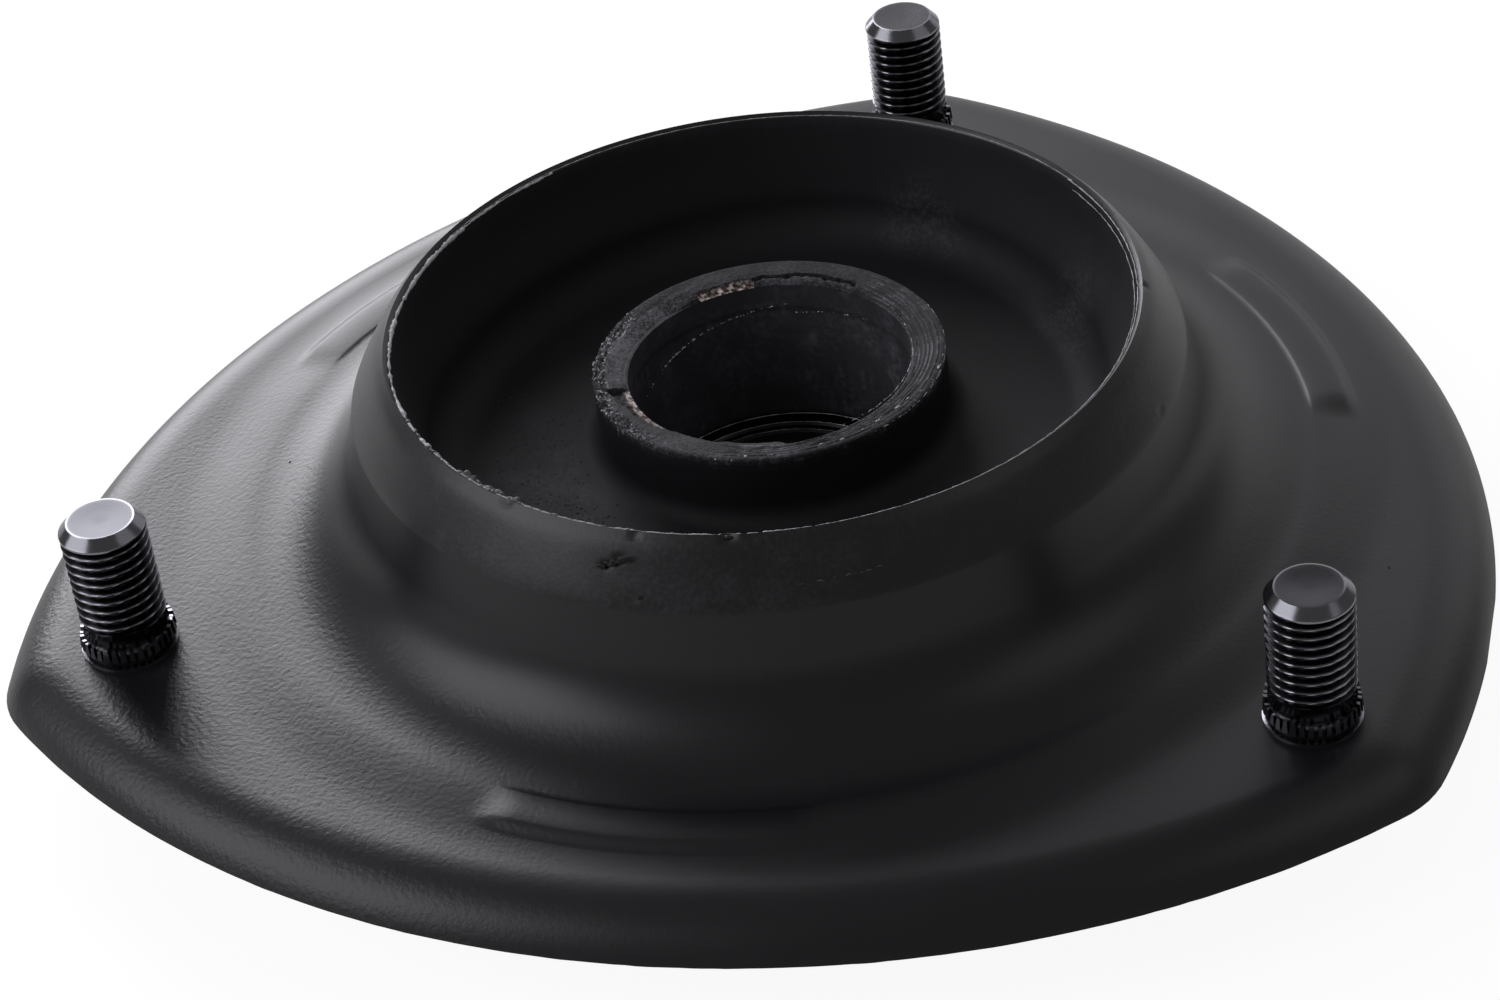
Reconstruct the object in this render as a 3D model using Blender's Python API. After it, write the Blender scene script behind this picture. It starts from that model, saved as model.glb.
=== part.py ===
"""Strut mount: a drawn steel top plate with three studs, a bonded rubber insulator and a sealed ball bearing.

Units are metres, +Z is up along the bore. The origin lies on the bore axis, in the plane of the flat pads
round the studs, at the centre of the stud circle. One stud stands on +Y.
"""

import math

import bmesh
import bpy
from mathutils import Matrix, Vector

# Clearance that bonded and pressed pieces keep between their surfaces.
GAP = 0.0003

# Studs
STUD_COUNT = 3
STUD_CIRCLE_RADIUS = 0.0795
STUD_THREAD_RADIUS = 0.0050
STUD_END_FACE_RADIUS = 0.0039
STUD_END_CHAMFER = 0.0012
STUD_UNDERCUT_RADIUS = 0.0045
STUD_UNDERCUT_LENGTH = 0.0017
STUD_COLLAR_RADIUS = 0.0055
STUD_COLLAR_PROUD = 0.0024
STUD_HEIGHT = 0.0177
STUD_HEAD_RADIUS = 0.0070
STUD_HEAD_THICKNESS = 0.0024
STUD_HEAD_EDGE = 0.0005

# Top plate
SHEET = 0.0028
DOME_WALL_RADIUS = 0.0500
DOME_FOOT_FILLET = 0.0130
DOME_LIP_BEND = 0.0054
DOME_LIP_ANGLE = math.radians(60.0)
FLANGE_LAND = 0.0103
BORDER_MARGIN = 0.0006
FLANGE_DISH = 0.0011
BORDER_BEND = 0.0092
BORDER_ANGLE = math.radians(62.0)
CORNER_REACH = 0.0154
CORNER_ROUND = 0.0130
BEAD_OFFSET = 0.0043
BEAD_WIDTH = 0.0064
BEAD_HEIGHT = 0.0014
BEAD_HALF_ANGLE = math.radians(17.0)
BEAD_END_ANGLE = math.radians(3.5)

# Rubber insulator
SHUT_OFF_HEIGHT = 0.0022
SHUT_OFF_PROUD = 0.0004
RIM_RADIUS = 0.0446
RIM_HEIGHT = 0.0237
RIM_CREST = 0.0010
SHOULDER_FLATNESS = 1.5
TROUGH_WALL_RADIUS = 0.0412
TROUGH_OUTER_FILLET = 0.0055
TROUGH_INNER_FILLET = 0.0025
TROUGH_FLOOR_HEIGHT = 0.0076
TROUGH_LOBE_COUNT = 3
TROUGH_LOBE_DEPTH = 0.0016
SLEEVE_COAT = 0.0009
SLEEVE_COAT_ROUND = 0.0006
RUBBER_FOOT_HEIGHT = 0.0030
RUBBER_ARCH_HEIGHT = -0.0024
RUBBER_SKIRT_HEIGHT = -0.0080
RUBBER_SKIRT_THICKNESS = 0.0022
RUBBER_ARCH_SPAN = 0.0075

# Inner sleeve
SLEEVE_BORE_RADIUS = 0.0169
SLEEVE_WALL = 0.0029
SLEEVE_TOP_HEIGHT = 0.0166
SLEEVE_SHOULDER_HEIGHT = -0.0037
SEAT_WALL = 0.0027
SEAT_LIP = 0.0015
SEAT_LIP_REACH = 0.0016

# Ball bearing. A ball's radius is a share of the section between bore and outside, and the rings' lands stand
# off the balls' circle by a share of that radius.
BEARING_RADIUS = 0.0200
BEARING_BORE_RADIUS = 0.0070
BEARING_WIDTH = 0.0120
BALL_COUNT = 9
BALL_SHARE = 0.2137
RACE_LAND_SHARE = 0.72
RACE_CHAMFER = 0.0006
CAGE_THICKNESS = 0.0010
CAGE_RIM = 0.0005
SEAL_THICKNESS = 0.0007
SEAL_INSET = 0.0003

# Facets
PLATE_SIDE_ANGLES = (0.0, 7.0, 13.5, 17.0, 22.0, 29.0, 37.0, 45.0, 50.5, 54.0, 57.0)
ROUND_STEPS = 42
BEARING_STEPS = 32
INNER_RING_STEPS = 36
STUD_STEPS = 20
BALL_STEPS = 8
BALL_RINGS = 6
POCKET_STEPS = 10

# Sizes that follow from the ones above.
DOME_FOOT_RADIUS = DOME_WALL_RADIUS + DOME_FOOT_FILLET
BORDER_REACH = BORDER_BEND * math.sin(BORDER_ANGLE)
FLANGE_PAD_RADIUS = DOME_FOOT_RADIUS + FLANGE_LAND
OUTLINE_SIDE = FLANGE_PAD_RADIUS + BORDER_MARGIN + BORDER_REACH
OUTLINE_CORNER = STUD_CIRCLE_RADIUS + CORNER_REACH
BEAD_RADIUS = DOME_FOOT_RADIUS + BEAD_OFFSET
LIP_CENTRE_RADIUS = DOME_WALL_RADIUS - DOME_LIP_BEND
DOME_BEND_HEIGHT = FLANGE_DISH + DOME_FOOT_FILLET
STUD_HOLE_RADIUS = STUD_COLLAR_RADIUS + GAP
SLEEVE_OUTER_RADIUS = SLEEVE_BORE_RADIUS + SLEEVE_WALL
SLEEVE_STEEL_TOP = SLEEVE_TOP_HEIGHT - SLEEVE_COAT - GAP
COAT_RADIUS = SLEEVE_OUTER_RADIUS + GAP + SLEEVE_COAT
SEAT_RADIUS = BEARING_RADIUS + GAP
SEAT_OUTER_RADIUS = SEAT_RADIUS + SEAT_WALL
SEAT_STEP_HEIGHT = SLEEVE_SHOULDER_HEIGHT + SEAT_WALL
BALL_PITCH_RADIUS = (BEARING_RADIUS + BEARING_BORE_RADIUS) / 2.0
BALL_RADIUS = BALL_SHARE * (BEARING_RADIUS - BEARING_BORE_RADIUS)
RACE_LAND = RACE_LAND_SHARE * BALL_RADIUS
BEARING_TOP = SLEEVE_SHOULDER_HEIGHT - GAP
BEARING_CENTRE = BEARING_TOP - BEARING_WIDTH / 2.0
BEARING_BOTTOM = BEARING_TOP - BEARING_WIDTH
SLEEVE_BOTTOM = BEARING_BOTTOM - GAP - SEAT_LIP
STUD_ANGLES = [math.pi / 2.0 + 2.0 * math.pi * index / STUD_COUNT for index in range(STUD_COUNT)]


def clear_scene():
    """Remove every object of the open scene."""
    for obj in list(bpy.data.objects):
        bpy.data.objects.remove(obj, do_unlink=True)


def make_material(name, colour, roughness, metallic):
    """Return a Principled material with one colour."""
    material = bpy.data.materials.new(name)
    material.use_nodes = True
    shader = material.node_tree.nodes["Principled BSDF"]
    shader.inputs["Base Color"].default_value = (*colour, 1.0)
    shader.inputs["Roughness"].default_value = roughness
    shader.inputs["Metallic"].default_value = metallic
    return material


def add_object(name, bm, material, parent=None, location=(0.0, 0.0, 0.0), sharp_angle=32.0):
    """Turn a bmesh into a shaded, named object and place it under its parent."""
    bmesh.ops.recalc_face_normals(bm, faces=bm.faces)
    mesh = bpy.data.meshes.new(name)
    bm.to_mesh(mesh)
    bm.free()
    mesh.shade_smooth()
    mesh.set_sharp_from_angle(angle=math.radians(sharp_angle))
    mesh.materials.append(material)
    obj = bpy.data.objects.new(name, mesh)
    bpy.context.scene.collection.objects.link(obj)
    obj.location = location
    obj.parent = parent
    return obj


def add_empty(name, parent=None, location=(0.0, 0.0, 0.0)):
    """Add an empty that carries other objects."""
    empty = bpy.data.objects.new(name, None)
    empty.location = location
    empty.parent = parent
    bpy.context.scene.collection.objects.link(empty)
    return empty


def arc(centre_r, centre_z, radius, start, end, steps):
    """Points (r, z) on an arc in the profile plane, from start to end in degrees, both included."""
    points = []
    for index in range(steps + 1):
        angle = math.radians(start + (end - start) * index / steps)
        points.append((centre_r + radius * math.cos(angle), centre_z + radius * math.sin(angle)))
    return points


def revolve(profile, steps, closed=True):
    """Spin a profile of (r, z) points about Z. A closed profile makes a ring, an open one runs axis to axis."""
    bm = bmesh.new()
    verts = [bm.verts.new((r, 0.0, z)) for r, z in profile]
    edges = [bm.edges.new(pair) for pair in zip(verts, verts[1:])]
    if closed:
        edges.append(bm.edges.new((verts[-1], verts[0])))
    bmesh.ops.spin(
        bm,
        geom=verts + edges,
        cent=(0.0, 0.0, 0.0),
        axis=(0.0, 0.0, 1.0),
        angle=2.0 * math.pi,
        steps=steps,
        use_merge=True,
    )
    bmesh.ops.remove_doubles(bm, verts=bm.verts, dist=1.0e-6)
    return bm


def bore_cutter(name, radius, bottom, top, steps, matrix=None):
    """A hidden cylinder for a Boolean cut."""
    bm = bmesh.new()
    bmesh.ops.create_cone(
        bm,
        cap_ends=True,
        segments=steps,
        radius1=radius,
        radius2=radius,
        depth=top - bottom,
        matrix=Matrix.Translation((0.0, 0.0, (top + bottom) / 2.0)),
    )
    if matrix is not None:
        bmesh.ops.transform(bm, matrix=matrix, verts=bm.verts)
    cutter = add_object(name, bm, bpy.data.materials["cutter"])
    cutter.hide_render = True
    cutter.display_type = "WIRE"
    return cutter


def cut_with(obj, cutters):
    """Subtract each cutter from the object."""
    for cutter in cutters:
        modifier = obj.modifiers.new(cutter.name, "BOOLEAN")
        modifier.operation = "DIFFERENCE"
        modifier.solver = "EXACT"
        modifier.object = cutter


def outline_radius(inset, angle):
    """Polar radius of the flange outline, moved in by inset, at an angle measured from a stud.

    The outline is a rounded triangle: one arc at each corner and one large arc along each side, tangent
    to each other. Moving it in keeps all of its arc centres.
    """
    side = OUTLINE_SIDE - inset
    corner = OUTLINE_CORNER - inset
    corner_round = max(CORNER_ROUND - inset, 0.0010)
    corner_centre = corner - corner_round
    side_centre = (corner_centre**2 - (side - corner_round) ** 2) / (2.0 * (side - corner_round) - corner_centre)
    side_radius = side_centre + side
    pitch = 2.0 * math.pi / STUD_COUNT
    off_corner = abs((angle + pitch / 2.0) % pitch - pitch / 2.0)
    direction = math.atan2(
        side_centre * math.sin(math.pi / STUD_COUNT),
        corner_centre + side_centre * math.cos(math.pi / STUD_COUNT),
    )
    tangent = math.atan2(
        corner_round * math.sin(direction),
        corner_centre + corner_round * math.cos(direction),
    )
    if off_corner < tangent:
        reach = corner_round**2 - (corner_centre * math.sin(off_corner)) ** 2
        return corner_centre * math.cos(off_corner) + math.sqrt(max(reach, 0.0))
    off_side = math.pi / STUD_COUNT - off_corner
    reach = side_radius**2 - (side_centre * math.sin(off_side)) ** 2
    return math.sqrt(reach) - side_centre * math.cos(off_side)


def plate_angles():
    """Angles around the plate, closer together at the corners and at the ends of the beads."""
    angles = []
    for stud_angle in STUD_ANGLES:
        middle = stud_angle + math.pi / STUD_COUNT
        side = [math.radians(value) for value in PLATE_SIDE_ANGLES]
        angles.extend(middle - value for value in reversed(side[1:]))
        angles.extend(middle + value for value in side)
        angles.append(middle + math.pi / STUD_COUNT)
    return angles


def bead_lift(angle):
    """Share of the bead's height at an angle: one along the middle of each side, easing to zero at its ends."""
    pitch = 2.0 * math.pi / STUD_COUNT
    off_stud = (angle - STUD_ANGLES[0]) % pitch
    off_middle = abs(off_stud - pitch / 2.0)
    rest = (BEAD_HALF_ANGLE - off_middle) / BEAD_END_ANGLE
    rest = min(max(rest, 0.0), 1.0)
    return rest * rest * (3.0 - 2.0 * rest)


def flange_height(radius):
    """Height of the flange above the stud pads: it eases up to the dome's foot."""
    rest = (radius - DOME_FOOT_RADIUS) / FLANGE_LAND
    rest = min(max(rest, 0.0), 1.0)
    return FLANGE_DISH * (1.0 - rest * rest * (3.0 - 2.0 * rest))


def plate_rings(depth):
    """Rings of the plate's sheet from the dome's lip out to the border's edge, depth below its upper side.

    Each ring is a function that takes an angle and returns (r, z). The arcs turned towards the upper side
    shrink by depth, and the foot fillet, turned the other way, grows by it.
    """
    fixed = []
    lip_steps = 3
    lip = arc(
        LIP_CENTRE_RADIUS,
        DOME_BEND_HEIGHT,
        DOME_LIP_BEND - depth,
        math.degrees(DOME_LIP_ANGLE),
        0.0,
        lip_steps,
    )
    foot = arc(DOME_FOOT_RADIUS, DOME_BEND_HEIGHT, DOME_FOOT_FILLET + depth, 180.0, 270.0, 6)
    fixed.extend(lip)
    fixed.extend(foot[1:])
    rings = [lambda angle, point=point: point for point in fixed]

    for across in (-1.0, -0.6, 0.0, 0.6, 1.0):
        crown = 1.0 - across * across

        def bead(angle, across=across, crown=crown):
            radius = BEAD_RADIUS + across * BEAD_WIDTH / 2.0
            return radius, flange_height(radius) + BEAD_HEIGHT * crown * bead_lift(angle) - depth

        rings.append(bead)
    rings.append(lambda angle: (FLANGE_PAD_RADIUS, -depth))

    border_steps = 4
    for index in range(border_steps + 1):
        turn = BORDER_ANGLE * index / border_steps

        def border(angle, turn=turn):
            start = outline_radius(BORDER_REACH, angle - STUD_ANGLES[0])
            edge = outline_radius(0.0, angle - STUD_ANGLES[0])
            bend = BORDER_BEND - depth
            radius = start + (edge - start) * bend * math.sin(turn) / BORDER_REACH
            return radius, bend * math.cos(turn) - BORDER_BEND

        rings.append(border)
    return rings


def build_top_plate(material, parent):
    """Press the plate: one sheet with dome, beads and border, then punch the stud holes."""
    rings = plate_rings(0.0) + list(reversed(plate_rings(SHEET)))
    angles = plate_angles()
    bm = bmesh.new()
    grid = []
    for ring in rings:
        row = []
        for angle in angles:
            radius, height = ring(angle)
            row.append(bm.verts.new((radius * math.cos(angle), radius * math.sin(angle), height)))
        grid.append(row)
    for row, following in zip(grid, grid[1:] + grid[:1]):
        for index in range(len(angles)):
            after = (index + 1) % len(angles)
            bm.faces.new((row[index], row[after], following[after], following[index]))
    plate = add_object("top_plate", bm, material, parent)
    cutters = []
    for number, angle in enumerate(STUD_ANGLES, start=1):
        place = Matrix.Translation(
            (STUD_CIRCLE_RADIUS * math.cos(angle), STUD_CIRCLE_RADIUS * math.sin(angle), 0.0)
        ) @ Matrix.Rotation(angle + math.pi / STUD_STEPS, 4, "Z")
        cutters.append(
            bore_cutter(f"stud_hole_{number}", STUD_HOLE_RADIUS, -3.0 * SHEET, SHEET, STUD_STEPS, place)
        )
    cut_with(plate, cutters)
    return plate


def build_studs(material, parent):
    """Turn the studs: head under the plate, collar in its hole, undercut, thread and chamfered end."""
    head_top = -SHEET - GAP
    head_bottom = head_top - STUD_HEAD_THICKNESS
    collar_edge = STUD_COLLAR_RADIUS - STUD_UNDERCUT_RADIUS
    undercut_top = STUD_COLLAR_PROUD + STUD_UNDERCUT_LENGTH
    profile = [
        (0.0, head_bottom),
        (STUD_HEAD_RADIUS - STUD_HEAD_EDGE, head_bottom),
        (STUD_HEAD_RADIUS, head_bottom + STUD_HEAD_EDGE),
        (STUD_HEAD_RADIUS, head_top),
        (STUD_COLLAR_RADIUS, head_top),
        (STUD_COLLAR_RADIUS, STUD_COLLAR_PROUD - collar_edge / 2.0),
        (STUD_UNDERCUT_RADIUS, STUD_COLLAR_PROUD),
        (STUD_UNDERCUT_RADIUS, undercut_top),
        (STUD_THREAD_RADIUS, undercut_top + STUD_THREAD_RADIUS - STUD_UNDERCUT_RADIUS),
        (STUD_THREAD_RADIUS, STUD_HEIGHT - STUD_END_CHAMFER),
        (STUD_END_FACE_RADIUS, STUD_HEIGHT),
        (0.0, STUD_HEIGHT),
    ]
    for number, angle in enumerate(STUD_ANGLES, start=1):
        place = (STUD_CIRCLE_RADIUS * math.cos(angle), STUD_CIRCLE_RADIUS * math.sin(angle), 0.0)
        add_object(f"stud_{number}", revolve(profile, STUD_STEPS, closed=False), material, parent, place)


def rubber_profile():
    """Closed profile of the moulding: shoulder, rim, trough, sleeve coat, underside and the dome's groove."""
    shut_off_z = DOME_BEND_HEIGHT + SHUT_OFF_HEIGHT
    groove_bend = DOME_LIP_BEND + GAP
    shoulder_radius = DOME_WALL_RADIUS + SHUT_OFF_PROUD
    crest_z = RIM_HEIGHT - RIM_CREST / 2.0
    points = []
    for index in range(6):
        angle = math.radians(14.0 * index)
        points.append(
            (
                RIM_RADIUS + (shoulder_radius - RIM_RADIUS) * math.cos(angle) ** SHOULDER_FLATNESS,
                shut_off_z + (crest_z - shut_off_z) * math.sin(angle) ** SHOULDER_FLATNESS,
            )
        )
    points.append((RIM_RADIUS, RIM_HEIGHT))
    points.append((RIM_RADIUS - RIM_CREST, RIM_HEIGHT - RIM_CREST))
    wall_foot_z = TROUGH_FLOOR_HEIGHT + TROUGH_OUTER_FILLET
    points.extend(
        arc(TROUGH_WALL_RADIUS - TROUGH_OUTER_FILLET, wall_foot_z, TROUGH_OUTER_FILLET, 0.0, -90.0, 4)
    )
    coat_foot_z = TROUGH_FLOOR_HEIGHT + TROUGH_INNER_FILLET
    points.extend(
        arc(COAT_RADIUS + TROUGH_INNER_FILLET, coat_foot_z, TROUGH_INNER_FILLET, 270.0, 180.0, 3)
    )
    points.append((COAT_RADIUS, SLEEVE_TOP_HEIGHT - SLEEVE_COAT_ROUND))
    points.append((COAT_RADIUS - SLEEVE_COAT_ROUND, SLEEVE_TOP_HEIGHT))
    points.append((SLEEVE_BORE_RADIUS, SLEEVE_TOP_HEIGHT))
    points.append((SLEEVE_BORE_RADIUS, SLEEVE_STEEL_TOP + GAP))
    points.append((SLEEVE_OUTER_RADIUS + GAP, SLEEVE_STEEL_TOP + GAP))
    points.append((SLEEVE_OUTER_RADIUS + GAP, SEAT_STEP_HEIGHT + GAP))
    points.append((SEAT_OUTER_RADIUS + GAP, SEAT_STEP_HEIGHT + GAP))
    points.append((SEAT_OUTER_RADIUS + GAP, RUBBER_SKIRT_HEIGHT))
    skirt_radius = SEAT_OUTER_RADIUS + GAP + RUBBER_SKIRT_THICKNESS
    points.append((skirt_radius, RUBBER_SKIRT_HEIGHT))
    points.append((skirt_radius + RUBBER_ARCH_SPAN / 2.0, (RUBBER_SKIRT_HEIGHT + RUBBER_ARCH_HEIGHT) / 2.0))
    points.append((skirt_radius + RUBBER_ARCH_SPAN, RUBBER_ARCH_HEIGHT))
    foot_bend = DOME_FOOT_FILLET + SHEET + GAP
    foot_angle = math.asin((DOME_BEND_HEIGHT - RUBBER_FOOT_HEIGHT) / foot_bend)
    foot_radius = DOME_FOOT_RADIUS - foot_bend * math.cos(foot_angle)
    points.append((foot_radius - 2.0 * SHEET, RUBBER_ARCH_HEIGHT))
    points.extend(
        arc(DOME_FOOT_RADIUS, DOME_BEND_HEIGHT, foot_bend, 180.0 + math.degrees(foot_angle), 180.0, 3)
    )
    lip_angle = math.degrees(DOME_LIP_ANGLE)
    inner_bend = DOME_LIP_BEND - SHEET - GAP
    end_r = -GAP * math.sin(DOME_LIP_ANGLE)
    end_z = GAP * math.cos(DOME_LIP_ANGLE)
    inner_lip = arc(LIP_CENTRE_RADIUS, DOME_BEND_HEIGHT, inner_bend, 0.0, lip_angle, 2)
    shut_off_angle = math.degrees(math.asin(SHUT_OFF_HEIGHT / groove_bend))
    outer_lip = arc(LIP_CENTRE_RADIUS, DOME_BEND_HEIGHT, groove_bend, lip_angle, shut_off_angle, 3)
    points.extend(inner_lip[1:])
    points.append((inner_lip[-1][0] + end_r, inner_lip[-1][1] + end_z))
    points.append((outer_lip[0][0] + end_r, outer_lip[0][1] + end_z))
    points.extend(outer_lip)
    return points


def build_insulator(material, parent):
    """Mould the rubber: spin its profile, then swell the foot of the trough's outer wall into soft lobes."""
    bm = revolve(rubber_profile(), ROUND_STEPS)
    low = TROUGH_FLOOR_HEIGHT
    high = TROUGH_FLOOR_HEIGHT + 2.0 * TROUGH_OUTER_FILLET
    inner = COAT_RADIUS + TROUGH_INNER_FILLET
    for vert in bm.verts:
        radius = math.hypot(vert.co.x, vert.co.y)
        if not (low <= vert.co.z < high and inner < radius <= TROUGH_WALL_RADIUS + GAP):
            continue
        angle = math.atan2(vert.co.y, vert.co.x) - STUD_ANGLES[0] - math.pi / STUD_COUNT
        swell = 0.5 + 0.5 * math.cos(TROUGH_LOBE_COUNT * angle)
        scale = 1.0 - TROUGH_LOBE_DEPTH * swell / radius
        vert.co.x *= scale
        vert.co.y *= scale
    return add_object("rubber_insulator", bm, material, parent)


def build_sleeve(material, parent):
    """Turn the inner sleeve: plain tube above, bearing seat below, closed by a rolled lip."""
    profile = [
        (SLEEVE_BORE_RADIUS, SLEEVE_STEEL_TOP),
        (SLEEVE_BORE_RADIUS, SLEEVE_SHOULDER_HEIGHT),
        (SEAT_RADIUS, SLEEVE_SHOULDER_HEIGHT),
        (SEAT_RADIUS, BEARING_BOTTOM - GAP),
        (SEAT_RADIUS - SEAT_LIP_REACH, BEARING_BOTTOM - GAP),
        (SEAT_RADIUS - SEAT_LIP_REACH, SLEEVE_BOTTOM),
        (SEAT_OUTER_RADIUS - SEAT_LIP, SLEEVE_BOTTOM),
        (SEAT_OUTER_RADIUS, SLEEVE_BOTTOM + SEAT_LIP),
        (SEAT_OUTER_RADIUS, SEAT_STEP_HEIGHT),
        (SLEEVE_OUTER_RADIUS, SEAT_STEP_HEIGHT),
        (SLEEVE_OUTER_RADIUS, SLEEVE_STEEL_TOP),
    ]
    return add_object("inner_sleeve", revolve(profile, ROUND_STEPS), material, parent)


def race_groove(side):
    """Points of a ball groove in a ring's land, bottom to top: side is 1 for the outer ring, -1 for the inner."""
    bend = BALL_RADIUS + GAP
    half_angle = math.acos(RACE_LAND / bend)
    points = []
    steps = 4
    for index in range(steps + 1):
        angle = half_angle * (2.0 * index / steps - 1.0)
        points.append((BALL_PITCH_RADIUS + side * bend * math.cos(angle), bend * math.sin(angle)))
    return points


def build_bearing(steel, cage_steel, rubber, root):
    """Build the sealed ball bearing about the bore axis, its origin in the middle of its width."""
    half = BEARING_WIDTH / 2.0
    outer_land = BALL_PITCH_RADIUS + RACE_LAND
    inner_land = BALL_PITCH_RADIUS - RACE_LAND
    centre = (0.0, 0.0, BEARING_CENTRE)

    outer_profile = [
        (outer_land, -half),
        *race_groove(1.0),
        (outer_land, half),
        (BEARING_RADIUS - RACE_CHAMFER, half),
        (BEARING_RADIUS, half - RACE_CHAMFER),
        (BEARING_RADIUS, RACE_CHAMFER - half),
        (BEARING_RADIUS - RACE_CHAMFER, -half),
    ]
    add_object("bearing_outer_ring", revolve(outer_profile, BEARING_STEPS), steel, root, centre)

    inner_profile = [
        (inner_land, half),
        *reversed(race_groove(-1.0)),
        (inner_land, -half),
        (BEARING_BORE_RADIUS + RACE_CHAMFER, -half),
        (BEARING_BORE_RADIUS, RACE_CHAMFER - half),
        (BEARING_BORE_RADIUS, half - RACE_CHAMFER),
        (BEARING_BORE_RADIUS + RACE_CHAMFER, half),
    ]
    add_object("bearing_inner_ring", revolve(inner_profile, INNER_RING_STEPS), steel, root, centre)

    pocket = BALL_RADIUS + GAP
    cage_half_height = pocket + CAGE_RIM
    cage_inner = BALL_PITCH_RADIUS - CAGE_THICKNESS / 2.0
    cage_outer = BALL_PITCH_RADIUS + CAGE_THICKNESS / 2.0
    cage_profile = [
        (cage_inner, -cage_half_height),
        (cage_outer, -cage_half_height),
        (cage_outer, cage_half_height),
        (cage_inner, cage_half_height),
    ]
    cage_axis = add_empty("cage_axis", root, centre)
    cage = add_object("ball_cage", revolve(cage_profile, 4 * BALL_COUNT), cage_steel, cage_axis)
    cutters = []
    for index in range(BALL_COUNT):
        angle = 2.0 * math.pi * index / BALL_COUNT
        turn = Matrix.Rotation(angle, 4, "Z") @ Matrix.Rotation(math.pi / 2.0, 4, "Y")
        cutter = bore_cutter(
            f"cage_pocket_{index + 1}",
            pocket,
            cage_inner - CAGE_THICKNESS,
            cage_outer + CAGE_THICKNESS,
            POCKET_STEPS,
            turn,
        )
        cutter.parent = cage_axis
        cutters.append(cutter)
    cut_with(cage, cutters)

    for index in range(BALL_COUNT):
        angle = 2.0 * math.pi * index / BALL_COUNT
        place = Vector((BALL_PITCH_RADIUS * math.cos(angle), BALL_PITCH_RADIUS * math.sin(angle), 0.0))
        bm = bmesh.new()
        bmesh.ops.create_uvsphere(bm, u_segments=BALL_STEPS, v_segments=BALL_RINGS, radius=BALL_RADIUS)
        add_object(f"ball_{index + 1:02d}", bm, steel, cage_axis, place, sharp_angle=180.0)

    for name, side in (("upper_seal", 1.0), ("lower_seal", -1.0)):
        outside = side * (half - SEAL_INSET)
        inside = side * (half - SEAL_INSET - SEAL_THICKNESS)
        seal_profile = [
            (inner_land + GAP, outside),
            (outer_land - GAP, outside),
            (outer_land - GAP, inside),
            (inner_land + GAP, inside),
        ]
        add_object(name, revolve(seal_profile, BEARING_STEPS), rubber, root, centre)


def main():
    """Build the whole mount."""
    clear_scene()
    make_material("cutter", (0.5, 0.5, 0.5), 0.5, 0.0)
    paint = make_material("plate_paint", (0.035, 0.036, 0.039), 0.42, 0.0)
    rubber = make_material("moulded_rubber", (0.012, 0.012, 0.013), 0.6, 0.0)
    stud_steel = make_material("stud_steel", (0.10, 0.10, 0.10), 0.28, 1.0)
    sleeve_steel = make_material("sleeve_steel", (0.06, 0.055, 0.05), 0.45, 1.0)
    bearing_steel = make_material("bearing_steel", (0.55, 0.55, 0.55), 0.2, 1.0)
    cage_steel = make_material("cage_steel", (0.45, 0.45, 0.46), 0.35, 1.0)

    root = add_empty("strut_mount")
    build_top_plate(paint, root)
    build_studs(stud_steel, root)
    build_insulator(rubber, root)
    build_sleeve(sleeve_steel, root)
    build_bearing(bearing_steel, cage_steel, rubber, root)


main()
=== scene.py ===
"""Strut mount: pressed steel plate with three studs, moulded rubber ring and sleeve with a sealed bearing.

Every piece is built at its place in the mount's own frame, in metres, +Z up along the bore. The origin lies
on the bore's axis in the plane of the pads round the studs, and one stud stands on +Y.
"""

from __future__ import annotations

import logging
import math
from dataclasses import dataclass
from enum import Enum
from functools import cache, partial
from typing import Any, Callable, Sequence

import bpy
import numpy as np
from mathutils import Matrix, Vector

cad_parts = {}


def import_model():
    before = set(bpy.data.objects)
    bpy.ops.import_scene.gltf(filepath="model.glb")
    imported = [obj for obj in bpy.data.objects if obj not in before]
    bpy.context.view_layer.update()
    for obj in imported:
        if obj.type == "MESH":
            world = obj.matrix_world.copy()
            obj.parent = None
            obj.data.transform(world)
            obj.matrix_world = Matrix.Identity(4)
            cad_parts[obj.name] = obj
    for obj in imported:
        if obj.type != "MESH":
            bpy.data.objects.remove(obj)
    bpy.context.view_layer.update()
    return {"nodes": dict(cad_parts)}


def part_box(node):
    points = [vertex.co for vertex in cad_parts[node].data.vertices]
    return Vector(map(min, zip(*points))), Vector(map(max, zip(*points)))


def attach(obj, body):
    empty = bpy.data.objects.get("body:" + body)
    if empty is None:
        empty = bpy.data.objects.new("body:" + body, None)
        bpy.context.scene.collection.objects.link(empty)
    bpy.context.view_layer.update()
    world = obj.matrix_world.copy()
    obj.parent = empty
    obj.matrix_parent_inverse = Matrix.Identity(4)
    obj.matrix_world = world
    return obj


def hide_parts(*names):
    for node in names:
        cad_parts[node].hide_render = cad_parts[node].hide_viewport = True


LOG = logging.getLogger("strut_mount")
MM = 0.001
Point = tuple[float, float]
Triple = tuple[float, float, float]
Maker = Callable[..., Any]


class Body(Enum):
    """Rigid bodies that carry pieces, next to one for each ball."""

    MOUNT = "mount"
    INNER_RING = "inner_ring"


class Slot(Enum):
    """Finish slots of the part's record."""

    PAINT = "plate_paint"
    RUBBER = "moulded_rubber"
    STUD = "stud_steel"
    SLEEVE = "sleeve_steel"
    BEARING = "bearing_steel"
    SEAL = "seal_rubber"


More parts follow.
